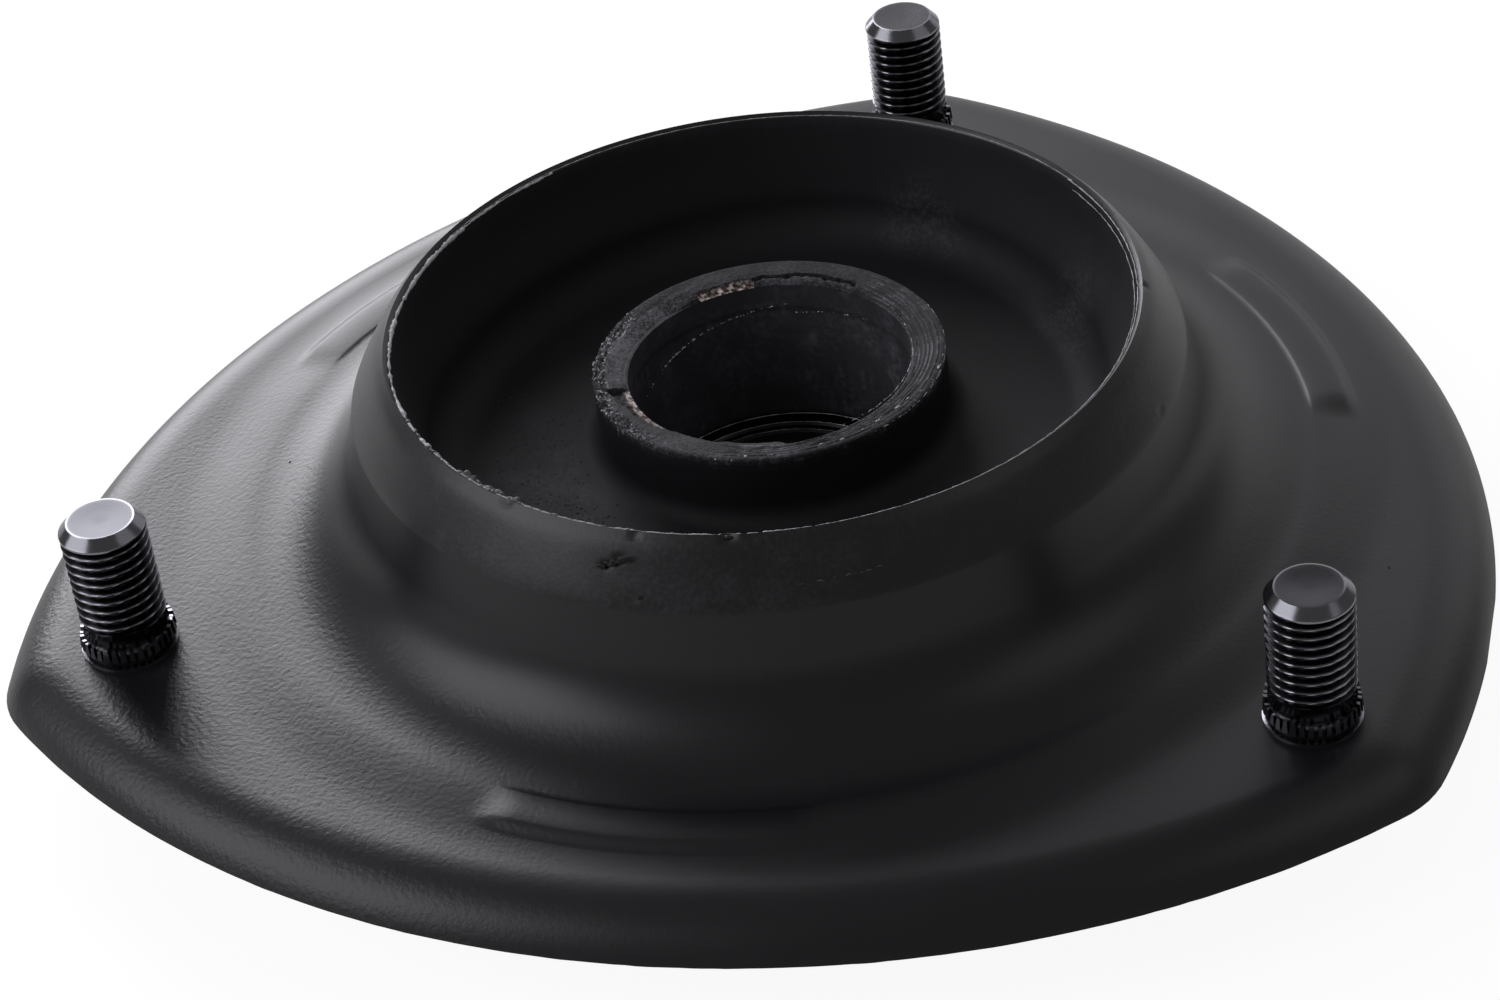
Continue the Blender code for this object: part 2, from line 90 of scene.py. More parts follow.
def linear(hex_colour: str) -> tuple[float, float, float, float]:
    """Turn an sRGB hex colour, such as "1b1b1d", into linear red, green, blue and an alpha of one.

    Args:
        hex_colour: six hex digits.

    Returns:
        The linear colour.
    """
    values = [int(hex_colour[i : i + 2], 16) / 255.0 for i in (0, 2, 4)]
    turned = [v / 12.92 if v <= 0.04045 else ((v + 0.055) / 1.055) ** 2.4 for v in values]
    return turned[0], turned[1], turned[2], 1.0


def fill(node: bpy.types.Node, inputs: dict[str | int, Any], tree: bpy.types.NodeTree) -> None:
    """Fill inputs of a tree's node, by name or index, each with a value or with a socket to link from.

    Args:
        node: the node.
        inputs: values or sockets by the name or index of an input.
        tree: the node's tree.
    """
    for name, value in inputs.items():
        if isinstance(value, bpy.types.NodeSocket):
            tree.links.new(value, node.inputs[name])
        else:
            node.inputs[name].default_value = value


def add_node(
    tree: bpy.types.NodeTree, kind: str, inputs: dict[str | int, Any] | None = None, **settings: Any
) -> Any:
    """Add a node with its settings and links.

    Args:
        tree: node tree that gets the node.
        kind: the node's type name.
        inputs: values or sockets for its inputs, by name or index.
        settings: its properties.

    Returns:
        The node's outputs.
    """
    node = tree.nodes.new(kind)
    for name, value in settings.items():
        setattr(node, name, value)
    fill(node, inputs or {}, tree)
    return node.outputs


def lattice_noise(points: np.ndarray, cell: float, seed: int) -> np.ndarray:
    """Smooth value noise.

    Args:
        points: array of points, the last axis holding x, y and z in metres.
        cell: size of a noise cell in metres.
        seed: changes the pattern.

    Returns:
        One value between -1 and 1 for each point.
    """
    scaled = points / cell
    low = np.floor(scaled).astype(np.int64)
    share = scaled - low
    share = share * share * (3.0 - 2.0 * share)
    total = np.zeros(points.shape[:-1])
    for corner in range(8):
        step = np.array([(corner >> axis) & 1 for axis in range(3)])
        key = low + step
        mixed = key[..., 0] * 374761393 + key[..., 1] * 668265263 + key[..., 2] * 2147483647
        mixed += seed * 974634777
        mixed = (mixed ^ (mixed >> 13)) * 1274126177
        value = ((mixed ^ (mixed >> 16)) & 0xFFFF) / 32767.5 - 1.0
        total += value * np.prod(np.where(step == 1, share, 1.0 - share), axis=-1)
    return total


def ease(value: Any, low: Any, high: Any) -> Any:
    """Smooth step from zero at low to one at high."""
    share = np.clip((value - low) / (high - low), 0.0, 1.0)
    return share * share * (3.0 - 2.0 * share)


def stripe(value: Any, centre: Any, full: float, none: float) -> Any:
    """One up to a distance from a centre, falling to zero at a larger distance."""
    return 1.0 - ease(np.abs(value - centre), full, none)


def angle_gap(angle: np.ndarray, centre: float) -> np.ndarray:
    """Signed difference in degrees between angles and a centre, between -180 and 180."""
    return (angle - centre + 180.0) % 360.0 - 180.0


def sector(angle: np.ndarray, centre: float, half: Any, fade: float) -> np.ndarray:
    """One round a direction in degrees, falling to zero over a fade that ends at half the sector's width."""
    return ease(half - np.abs(angle_gap(angle, centre)), 0.0, fade)


def arc(centre: Point, radius: float, start: float, end: float, steps: int) -> list[Point]:
    """Points on an arc of the (r, z) plane, both ends included, between two angles in degrees.

    Args:
        centre: the arc's centre.
        radius: its radius.
        start: first angle.
        end: last angle.
        steps: number of spans.

    Returns:
        The points in order.
    """
    turns = np.radians(np.linspace(start, end, steps + 1))
    return [(centre[0] + radius * math.cos(t), centre[1] + radius * math.sin(t)) for t in turns]


def subdivide(points: Sequence[Point], spacing: float) -> np.ndarray:
    """Split the spans of a profile that are longer than a spacing, and leave out its last corner.

    Args:
        points: the profile's corners.
        spacing: longest span left.

    Returns:
        The points in order.
    """
    out: list[np.ndarray] = []
    for a, b in zip(np.array(points), np.array(points[1:])):
        parts = max(1, math.ceil(float(np.linalg.norm(b - a)) / spacing))
        out.extend(a + (b - a) * index / parts for index in range(parts))
    return np.array(out)


def full_circle(steps: int) -> np.ndarray:
    """Evenly spaced angles in radians, once round."""
    return np.linspace(0.0, 2.0 * math.pi, steps, endpoint=False)


def polar(radius: Any, height: Any, turns: np.ndarray) -> np.ndarray:
    """Points at radii, heights and angles in radians, which broadcast against each other."""
    radius, height, turns = np.broadcast_arrays(radius, height, turns)
    return np.stack([radius * np.cos(turns), radius * np.sin(turns), height], axis=-1)


def lathe(profile: Any, steps: int) -> np.ndarray:
    """Turn a profile of (r, z) points about Z into a grid with a row for each point."""
    profile = np.array(profile)
    return polar(profile[:, :1], profile[:, 1:], full_circle(steps))


def grid_mesh(name: str, points: np.ndarray, closed: bool = True, sharp: float = 35.0) -> bpy.types.Mesh:
    """Make a closed mesh of a grid of points whose columns run once round.

    Args:
        name: the mesh's name.
        points: array of shape (rows, columns, 3).
        closed: whether the last row joins the first. If not, both ends are closed by a pole.
        sharp: angle in degrees above which an edge stays sharp.

    Returns:
        The mesh, smooth, with its faces turned outwards.
    """
    rows, columns = points.shape[:2]
    index = np.arange(rows * columns).reshape(rows, columns)
    lower = index if closed else index[:-1]
    upper = np.roll(index, -1, axis=0) if closed else index[1:]
    corners = (lower, np.roll(lower, -1, axis=1), np.roll(upper, -1, axis=1), upper)
    quads = np.stack(corners, axis=-1).reshape(-1, 4)
    verts = points.reshape(-1, 3)
    faces: list[Any] = quads.tolist()
    if not closed:
        first, last = len(verts), len(verts) + 1
        verts = np.concatenate([verts, [points[0].mean(axis=0)], [points[-1].mean(axis=0)]])
        after = np.roll(index, -1, axis=1)
        faces += [[first, b, a] for a, b in zip(index[0].tolist(), after[0].tolist())]
        faces += [[last, a, b] for a, b in zip(index[-1].tolist(), after[-1].tolist())]
    a, b, c, d = (verts[quads[:, k]] for k in range(4))
    volume = float(np.einsum("ij,ij->", a, np.cross(b, c)) + np.einsum("ij,ij->", a, np.cross(c, d)))
    if volume < 0.0:
        faces = [face[::-1] for face in faces]
    mesh = bpy.data.meshes.new(name)
    mesh.from_pydata(verts.tolist(), [], faces)
    mesh.shade_smooth()
    mesh.set_sharp_from_angle(angle=math.radians(sharp))
    mesh.update()
    return mesh


def paint(mesh: bpy.types.Mesh, name: str, values: np.ndarray) -> None:
    """Store a named number for every point of a grid mesh; its poles get the last one.

    Args:
        mesh: the mesh.
        name: the attribute's name.
        values: one number for each point of the grid.
    """
    padded = np.full(len(mesh.vertices), values.flat[-1], dtype=np.float32)
    padded[: values.size] = values.reshape(-1)
    mesh.attributes.new(name, "FLOAT", "POINT").data.foreach_set("value", padded)


def link(name: str, data: Any) -> bpy.types.Object:
    """Put a mesh, lamp or camera into the scene as an object at the origin.

    Args:
        name: the object's name.
        data: what it shows.

    Returns:
        The object.
    """
    thing = bpy.data.objects.new(name, data)
    bpy.context.scene.collection.objects.link(thing)
    return thing


@dataclass(frozen=True)
class Finish:
    """A named finish. Its patterns read Object coordinates, so they keep their size on every piece."""

    name: str

    def build(self) -> bpy.types.Material:
        """Return the finish's material."""
        material = bpy.data.materials.new(self.name)
        material.use_nodes = True
        tree = material.node_tree
        node = partial(add_node, tree)
        fill(tree.nodes["Principled BSDF"], self.look(node, node("ShaderNodeTexCoord")["Object"]), tree)
        return material

    def look(self, node: Maker, place: Any) -> dict[str, Any]:
        """Add the finish's own nodes, which read a place, and return the shader's inputs."""
        raise NotImplementedError


@dataclass(frozen=True)
class SatinEnamel(Finish):
    """Black enamel sprayed on pressed steel: half glossy, with an orange peel that is coarser on one side."""

    name: str = "satin_black_enamel"
    colour: str = "16161a"
    colour_low: str = "111115"
    speck: str = "050505"
    roughness: float = 0.33
    roughness_high: float = 0.40
    # Orange peel is a millimetre or less from crest to crest.
    peel: float = 0.62 * MM
    peel_depth: float = 0.075 * MM
    peel_least: float = 0.22
    # The coat's thickness sways over the width of a spray fan's overlap.
    wave: float = 14.0 * MM
    # Dust nibs lie a finger's width apart.
    nib_spacing: float = 15.0 * MM
    nib_radius: float = 0.26 * MM
    # Where the peel is least and where it is full, along each axis.
    zones: tuple[tuple[str, float, float], ...] = (
        ("X", 10.0 * MM, -60.0 * MM),
        ("Y", 32.0 * MM, -4.0 * MM),
        ("Z", 7.0 * MM, 1.5 * MM),
    )

    def look(self, node: Maker, place: Any) -> dict[str, Any]:
        """Add the sway, the nibs and the peel, and return the shader's inputs.

        Args:
            node: adds a node and returns its outputs.
            place: socket with the Object coordinates.

        Returns:
            The shader's inputs.
        """
        wave = node("ShaderNodeTexNoise", {"Vector": place, "Scale": 1.0 / self.wave, "Detail": 3.0})["Fac"]
        nib = node("ShaderNodeTexVoronoi", {"Vector": place, "Scale": 1.0 / self.nib_spacing})["Distance"]
        edge = self.nib_radius / self.nib_spacing
        span = {"Value": nib, "From Min": 0.5 * edge, "From Max": 1.4 * edge}
        clean = node("ShaderNodeMapRange", span, interpolation_type="SMOOTHSTEP")["Result"]
        colours = {0: wave, 6: linear(self.colour_low), 7: linear(self.colour)}
        colour = node("ShaderNodeMix", colours, data_type="RGBA")[2]
        colour = node("ShaderNodeMix", {0: clean, 6: linear(self.speck), 7: colour}, data_type="RGBA")[2]
        span = {"Value": wave, "To Min": self.roughness, "To Max": self.roughness_high}
        rough = node("ShaderNodeMapRange", span)["Result"]
        grain = {"Vector": place, "Scale": 1.0 / self.peel, "Detail": 2.5, "Roughness": 0.55}
        skin = node("ShaderNodeTexNoise", grain)["Fac"]
        axes = node("ShaderNodeSeparateXYZ", {"Vector": place})
        for axis, least, full in self.zones:
            span = {"Value": axes[axis], "From Min": least, "From Max": full, "To Min": self.peel_least}
            zone = node("ShaderNodeMapRange", span, interpolation_type="SMOOTHSTEP")["Result"]
            skin = node("ShaderNodeMath", {0: skin, 1: zone}, operation="MULTIPLY")[0]
        pits = node("ShaderNodeMath", {0: clean, 1: 0.6, 2: skin}, operation="MULTIPLY_ADD")[0]
        bump = node("ShaderNodeBump", {"Height": pits, "Distance": self.peel_depth})["Normal"]
        return {"IOR": 1.5, "Base Color": colour, "Roughness": rough, "Normal": bump}


@dataclass(frozen=True)
class MouldedRubber(Finish):
    """Moulded carbon black rubber: deep black and dull, with a fine grain and grey dust where it gathers, and
    painted shade where "gap" says.
    """

    name: str = "moulded_rubber"
    colour: str = "141417"
    dust: str = "3b3b3f"
    roughness: float = 0.36
    matt_roughness: float = 0.8
    specular: float = 0.5
    # The mould's blasted grain, drawn as coarse as it needs to show.
    grain: float = 0.55 * MM
    grain_depth: float = 0.022 * MM
    # Dust gathers in clouds of a few millimetres.
    cloud: float = 5.263 * MM
    # Rust grains on torn steel, drawn as coarse as they need to show.
    rust: float = 0.5882 * MM
    rust_colours: tuple[tuple[float, str], ...] = ((0.40, "3c302d"), (0.50, "94807a"), (0.60, "eee4e0"))
    # Near black painted shade, laid where the "gap" attribute says.
    painted_shade_colour: str = "050505"

    def look(self, node: Maker, place: Any) -> dict[str, Any]:
        """Read the piece's "dust", "bare", "matt" and "gap" attributes, where "dust" can hold painted
        highlights and "gap" is painted shade, and return the shader's inputs.

        Args:
            node: adds a node and returns its outputs.
            place: socket with the Object coordinates.

        Returns:
            The shader's inputs.
        """
        names = ("dust", "bare", "matt", "gap")
        dusty, bare, matt, gap = (node("ShaderNodeAttribute", attribute_name=name)["Fac"] for name in names)
        patterns = (
            {"Scale": 1.0 / self.grain, "Detail": 4.0, "Roughness": 0.6},
            {"Scale": 1.0 / self.cloud, "Detail": 5.0, "Roughness": 0.62},
            {"Scale": 1.0 / self.rust, "Detail": 4.0, "Roughness": 0.5},
        )
        grain, cloud, rust_grain = (
            node("ShaderNodeTexNoise", {"Vector": place, **pattern})["Fac"] for pattern in patterns
        )
        mottle = node("ShaderNodeMath", {0: cloud, 1: grain}, operation="ADD")[0]
        span = {"Value": mottle, "From Min": 0.84, "From Max": 1.34}
        spread = node("ShaderNodeMapRange", span, interpolation_type="SMOOTHSTEP")["Result"]
        share = node("ShaderNodeMath", {0: spread, 1: dusty}, operation="MULTIPLY", use_clamp=True)[0]
        rust = node("ShaderNodeValToRGB", {"Fac": rust_grain})["Color"]
        stops = rust.node.color_ramp.elements
        stops.new(0.5)
        for stop, (position, colour) in zip(stops, self.rust_colours):
            stop.position, stop.color = position, linear(colour)
        base: Any = linear(self.colour)
        # Dust and painted highlights, then rust where the steel is bare, then painted shade where "gap" says.
        for amount, over in ((share, linear(self.dust)), (bare, rust), (gap, linear(self.painted_shade_colour))):
            base = node("ShaderNodeMix", {0: amount, 6: base, 7: over}, data_type="RGBA")[2]
        ends = {"Value": matt, "To Min": self.roughness - 0.05, "To Max": self.matt_roughness - 0.05}
        level = node("ShaderNodeMapRange", ends)["Result"]
        rough = node("ShaderNodeMath", {0: grain, 1: 0.12, 2: level}, operation="MULTIPLY_ADD")[0]
        bump = node("ShaderNodeBump", {"Height": grain, "Distance": self.grain_depth})["Normal"]
        shine = {"IOR": 1.5, "Specular IOR Level": self.specular}
        return {**shine, "Base Color": base, "Roughness": rough, "Normal": bump}


@dataclass(frozen=True)
class TurnedSteel(Finish):
    """Plain carbon steel, oiled and blackened: a dark metal, brighter where its pieces paint rubbed steel and
    highlights.
    """

    name: str
    colour: str
    colour_low: str
    roughness: float
    # Colour of rubbed steel, also shown by painted highlights.
    rubbed: str = "8c8c90"
    # Oil stains are a few millimetres wide.
    stain: float = 2.381 * MM
    # Tool marks, drawn as coarse as they need to show.
    mark: float = 0.35 * MM
    mark_depth: float = 0.006 * MM

    def look(self, node: Maker, place: Any) -> dict[str, Any]:
        """Read the piece's attribute of rubbed steel and painted highlights, and return the shader's inputs.

        Args:
            node: adds a node and returns its outputs.
            place: socket with the Object coordinates.

        Returns:
            The shader's inputs.
        """
        cloud = {"Vector": place, "Scale": 1.0 / self.stain, "Detail": 4.0, "Roughness": 0.6}
        stain = node("ShaderNodeTexNoise", cloud)["Fac"]
        worn = node("ShaderNodeAttribute", attribute_name="worn")["Fac"]
        base: Any = linear(self.colour_low)
        for amount, over in ((stain, self.colour), (worn, self.rubbed)):
            base = node("ShaderNodeMix", {0: amount, 6: base, 7: linear(over)}, data_type="RGBA")[2]
        ends = {"Value": worn, "To Min": self.roughness - 0.05, "To Max": 0.6 * self.roughness - 0.05}
        level = node("ShaderNodeMapRange", ends)["Result"]
        rough = node("ShaderNodeMath", {0: stain, 1: 0.12, 2: level}, operation="MULTIPLY_ADD")[0]
        marks = node("ShaderNodeTexNoise", {"Vector": place, "Scale": 1.0 / self.mark, "Detail": 3.0})["Fac"]
        bump = node("ShaderNodeBump", {"Height": marks, "Distance": self.mark_depth})["Normal"]
        return {"Metallic": 1.0, "Base Color": base, "Roughness": rough, "Normal": bump}


class Look(Enum):
    """Every finish of the mount, with what it gives the eye."""

    # Half glossy black with a soft, uneven skin.
    ENAMEL = SatinEnamel()
    # Deep black with a dull sheen, for the shoulder.
    RUBBER = MouldedRubber()
    # Flat dark grey that hardly shines, for the trough.
    DULL_RUBBER = MouldedRubber("dull_rubber", "19191c", "3e3e43", 0.66, specular=0.26)
    # Grey, coarse and dusty, smooth where it was smeared, for the sleeve's worn top; its grey also shows
    # painted edge highlights.
    SCUFFED = MouldedRubber("scuffed_rubber", "18181b", "6c6c74", 0.34, 0.7, 0.36, 0.35 * MM, 0.07 * MM)
    # Threads of flash where the mould shut, painted pale as a highlight on thin black rubber.
    FLASH = MouldedRubber("rubber_flash_painted_pale", "a8a8ac", "c4c4c8", 0.4)
    # Mid grey shreds of torn flash, painted as a dimmer highlight.
    TEAR = MouldedRubber("torn_flash_dim_highlight", "48484c", "77777c", 0.5)
    # Near black metal, painted lighter on its crests, edges and teeth as rubbed steel and highlights.
    STUD = TurnedSteel("oiled_phosphate_steel", "2c2c30", "1c1c1f", 0.24, "86868c")
    # Bright metal for wires laid along edges as painted highlights.
    PAINTED_GLINT = TurnedSteel("painted_glint_steel", "c9c9cc", "8e8e92", 0.28)
    # Blackened bore with grey streaks.
    BORE = MouldedRubber("blackened_tube_steel", "38383c", "58585e", 0.5, grain=0.7 * MM)
    # Mirror-like ground balls.
    BALL = TurnedSteel("ground_bearing_steel", "b9b9bc", "9a9a9d", 0.16)
    # Rings dark with grease and darkened further as painted shade.
    RACE = TurnedSteel("greased_shaded_bearing_steel", "2a2a2c", "1a1a1c", 0.30, "b9b9bc")
    # Plain grey pressed strip.
    CAGE = TurnedSteel("pressed_cage_steel", "8c8c8f", "6f6f72", 0.32)
    # Smooth black lips.
    SEAL = MouldedRubber("seal_rubber", "0f0f10", "1c1c1e", 0.5, specular=0.3)
    # Matt grey grains of dirt.
    GRIT = MouldedRubber("trodden_grit", "55555a", "6c6c70", 0.8)
    # White fresh scratches, and white painted highlights on the rim's flash and the sleeve's edges.
    SCRATCH_AND_HIGHLIGHT = MouldedRubber("white_scratch_and_highlight", "c6c6ca", "e6e6ea", 0.5)
    # Black specks, and painted shade in the bottoms of chips.
    SPECK_AND_CHIP_SHADE = MouldedRubber("dark_speck_and_chip_shade", "070708", "0c0c0d", 0.6)

    @cache
    def material(self) -> bpy.types.Material:
        """Build the finish's material once."""
        return self.value.build()


def add_piece(
    mesh: bpy.types.Mesh,
    looks: Sequence[Look],
    slot: Slot,
    nodes: Sequence[str] = (),
    body: str = Body.MOUNT.value,
) -> bpy.types.Object:
    """Put a piece into the scene, on its body, and let it stand for solids.

    Args:
        mesh: the piece's mesh, at its place in the mount.
        looks: finishes that it doesn't have yet.
        slot: the record's finish slot; not used.
        nodes: solids that it stands for.
        body: name of the body that carries it.

    Returns:
        The piece, named as the mesh.
    """
    for look in looks:
        mesh.materials.append(look.material())
    piece = link(mesh.name, mesh)
    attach(piece, body)
    if nodes:
        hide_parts(*nodes)
    LOG.info("piece %s on %s, %d faces", piece.name, body, len(mesh.polygons))
    return piece


def grow(name: str, sizes: dict[str, Any], look: Look, nodes: Callable[[Maker, Any], Any]) -> bpy.types.Mesh:
    """Run a Geometry Nodes tree and keep its result as a plain mesh.

    Args:
        name: the mesh's name.
        sizes: values of the tree's inputs by name; their types are the inputs' types.
        look: finish of the result.
        nodes: adds the tree's own nodes and returns their geometry, given a maker of nodes and the inputs.

    Returns:
        The mesh, with its finish.
    """
    tree = bpy.data.node_groups.new(name, "GeometryNodeTree")
    kinds = {int: "NodeSocketInt", float: "NodeSocketFloat", Vector: "NodeSocketVector"}
    for label, value in sizes.items():
        tree.interface.new_socket(label, in_out="INPUT", socket_type=kinds[type(value)])
    tree.interface.new_socket("Geometry", in_out="OUTPUT", socket_type="NodeSocketGeometry")
    node = partial(add_node, tree)
    real = node("GeometryNodeRealizeInstances", {"Geometry": nodes(node, node("NodeGroupInput"))})[0]
    dressed = node("GeometryNodeSetMaterial", {"Geometry": real, "Material": look.material()})[0]
    node("NodeGroupOutput", {0: dressed})
    seed = link(f"{name}_seed", bpy.data.meshes.new(f"{name}_seed"))
    modifier = seed.modifiers.new("grow", "NODES")
    modifier.node_group = tree
    for item in tree.interface.items_tree:
        if item.in_out == "INPUT":
            modifier[item.identifier] = sizes[item.name]
    bpy.context.view_layer.update()
    mesh = bpy.data.meshes.new_from_object(seed.evaluated_get(bpy.context.evaluated_depsgraph_get()))
    mesh.name = name
    if not mesh.materials:
        mesh.materials.append(look.material())
    bpy.data.objects.remove(seed)
    return mesh


@dataclass(frozen=True)
class DomeWall:
    """The dome's section: a wide foot fillet, a wall that leans in a little, and a lip bent inwards."""

    sheet: float = 2.8 * MM
    foot_centre: Point = (63.5 * MM, 14.1 * MM)
    foot_fillet: float = 13.0 * MM
    lean: float = 16.0
    wall_top: float = 16.3 * MM
    lip_bend: float = 4.6 * MM
    lip_angle: float = 60.0

    def crease(self, depth: float) -> Point:
        """Where the leaning wall ends and the lip's bend starts, at a depth below the outer side.

        Args:
            depth: distance below the outer side.

        Returns:
            The point as (r, z).
        """
        tilt = math.radians(self.lean)
        run = (self.wall_top - self.foot_centre[1] + self.foot_fillet * math.sin(tilt)) / math.cos(tilt)
        reach = self.foot_fillet + depth
        return (
            self.foot_centre[0] - reach * math.cos(tilt) - run * math.sin(tilt),
            self.foot_centre[1] - reach * math.sin(tilt) + run * math.cos(tilt),
        )

    def lip(self, depth: float) -> list[Point]:
        """Points round the lip's bend, from its end to the wall, at a depth below the outer side.

        Args:
            depth: distance below the outer side.

        Returns:
            The points in order.
        """
        tilt = math.radians(self.lean)
        start = self.crease(0.0)
        centre = (start[0] - self.lip_bend * math.cos(tilt), start[1] - self.lip_bend * math.sin(tilt))
        return arc(centre, self.lip_bend - depth, self.lip_angle, self.lean, 8)

    def foot(self, depth: float) -> list[Point]:
        """Points round the foot's fillet, from the wall to the flange, at a depth below the outer side."""
        return arc(self.foot_centre, self.foot_fillet + depth, 180.0 + self.lean, 270.0, 26)


@dataclass(frozen=True)
class PressedPlate:
    """The one-piece pressing: drawn dome with its lip, dished flange, three beads and turned-down border."""

    wall: DomeWall = DomeWall()
    pad_radius: float = 73.3 * MM
    pad_margin: float = 0.6 * MM
    dish: float = 1.1 * MM
    dish_radii: Point = (71.6 * MM, 72.5 * MM)
    border_bend: float = 9.2 * MM
    border_angle: float = 62.0
    corner: float = 94.9 * MM
    corner_round: float = 13.0 * MM
    bead_radius: float = 67.3 * MM
    bead_width: float = 6.4 * MM
    bead_height: float = 0.58 * MM
    bead_step: float = 0.14
    bead_top: float = 0.38
    bead_half_angle: float = 17.0
    bead_end_angle: float = 4.5
    bead_rings: int = 33
    border_rings: int = 17
    # The sheet isn't quite flat: it sways over a thumb's width, and its cut edge is ragged.
    ripple: tuple[float, float] = (17.0 * MM, 0.05 * MM)
    ragged: tuple[float, float] = (3.0 * MM, 0.10 * MM)
    steps: int = 432

    @property
    def border_reach(self) -> float:
        """Plan width of the turned-down border."""
        return self.border_bend * math.sin(math.radians(self.border_angle))

    def outline(self, inset: float, turns: np.ndarray) -> np.ndarray:
        """Polar radius of the rounded triangle.

        Args:
            inset: distance that the outline is moved in.
            turns: angles in radians from a corner.

        Returns:
            One radius for each angle.
        """
        side = self.pad_radius + self.pad_margin + self.border_reach - inset
        corner = self.corner - inset
        bend = max(self.corner_round - inset, 1.0 * MM)
        middle = corner - bend
        offset = (middle**2 - (side - bend) ** 2) / (2.0 * (side - bend) - middle)
        large = offset + side
        pitch = 2.0 * math.pi / 3.0
        off = np.abs((turns + pitch / 2.0) % pitch - pitch / 2.0)
        lean = math.atan2(offset * math.sin(math.pi / 3.0), middle + offset * math.cos(math.pi / 3.0))
        tangent = math.atan2(bend * math.sin(lean), middle + bend * math.cos(lean))
        near = middle * np.cos(off) + np.sqrt(np.maximum(bend**2 - (middle * np.sin(off)) ** 2, 0.0))
        side_off = math.pi / 3.0 - off
        far = np.sqrt(large**2 - (offset * np.sin(side_off)) ** 2) - offset * np.cos(side_off)
        return np.where(off < tangent, near, far)

    def bead_lift(self, turns: np.ndarray) -> np.ndarray:
        """Share of the bead's height at angles in radians from a corner."""
        off = np.degrees(np.abs(turns % (2.0 * math.pi / 3.0) - math.pi / 3.0))
        return ease(self.bead_half_angle - off, 0.0, self.bead_end_angle)

    def bead_crown(self, across: float) -> float:
        """Share of the bead's height from -1 inside to 1 outside: a fine step, a ramp and a soft crown.

        Args:
            across: place across the bead.

        Returns:
            The share.
        """
        edge = self.bead_step * ease(across, -1.0, -0.90)
        share = min(max((across + 1.0) / (self.bead_top + 1.0), 0.0), 1.0)
        ramp = (1.0 - self.bead_step) * share * (1.25 - 0.25 * share**4)
        return (edge + ramp) * (1.0 - ease(across, self.bead_top, 1.0))

    def flange_height(self, radius: float) -> float:
        """Height of the flange over the stud pads at a radius."""
        return self.dish * (1.0 - ease(radius, self.wall.foot_centre[0], self.pad_radius))

    def side(self, depth: float, turns: np.ndarray) -> list[np.ndarray]:
        """One side of the sheet.

        Args:
            depth: distance below the upper side.
            turns: angles in radians, counted from the stud on +Y.

        Returns:
            Rings from the dome's lip to the border's edge, each an array of (r, z) for every angle.
        """
        rings: list[tuple[Any, Any]] = [*self.wall.lip(depth), *self.wall.foot(depth)]
        lift = self.bead_lift(turns)
        for across in np.linspace(-1.0, 1.0, self.bead_rings):
            radius = self.bead_radius + across * self.bead_width / 2.0
            bead = self.bead_height * self.bead_crown(across) * lift
            rings.append((radius, self.flange_height(radius) + bead - depth))
        for radius in (*self.dish_radii, self.pad_radius):
            rings.append((radius, self.flange_height(radius) - depth))
        start, edge = self.outline(self.border_reach, turns), self.outline(0.0, turns)
        for share in (0.25, 0.5, 0.75):
            rings.append((self.pad_radius + (start - self.pad_radius) * share, -depth))
        bend = self.border_bend - depth
        for turn in np.radians(np.linspace(0.0, self.border_angle, self.border_rings)):
            radius = start + (edge - start) * bend * math.sin(turn) / self.border_reach
            rings.append((radius, bend * math.cos(turn) - self.border_bend))
        return [np.stack(np.broadcast_arrays(r, z, turns)[:2], axis=-1) for r, z in rings]

    def build(self) -> bpy.types.Object:
        """Press the plate and return its piece."""
        turns = full_circle(self.steps)
        rings = np.array(self.side(0.0, turns) + self.side(self.wall.sheet, turns)[::-1])
        radius, height = rings[..., 0], rings[..., 1]
        points = polar(radius, height, turns + math.pi / 2.0)
        ripple = self.ripple[1] * lattice_noise(points, self.ripple[0], 5)
        ripple *= ease(radius, 60.0 * MM, 66.0 * MM)
        ragged = self.ragged[1] * ease(-height, 3.9 * MM, 5.0 * MM)
        points[..., 2] -= np.abs(ripple) + ragged * np.abs(lattice_noise(points, self.ragged[0], 9))
        points = np.clip(points, *(np.array(corner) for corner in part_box("top_plate")))
        mesh = grid_mesh("pressed_plate", points, sharp=40.0)
        return add_piece(mesh, [Look.ENAMEL], Slot.PAINT, ["top_plate"])


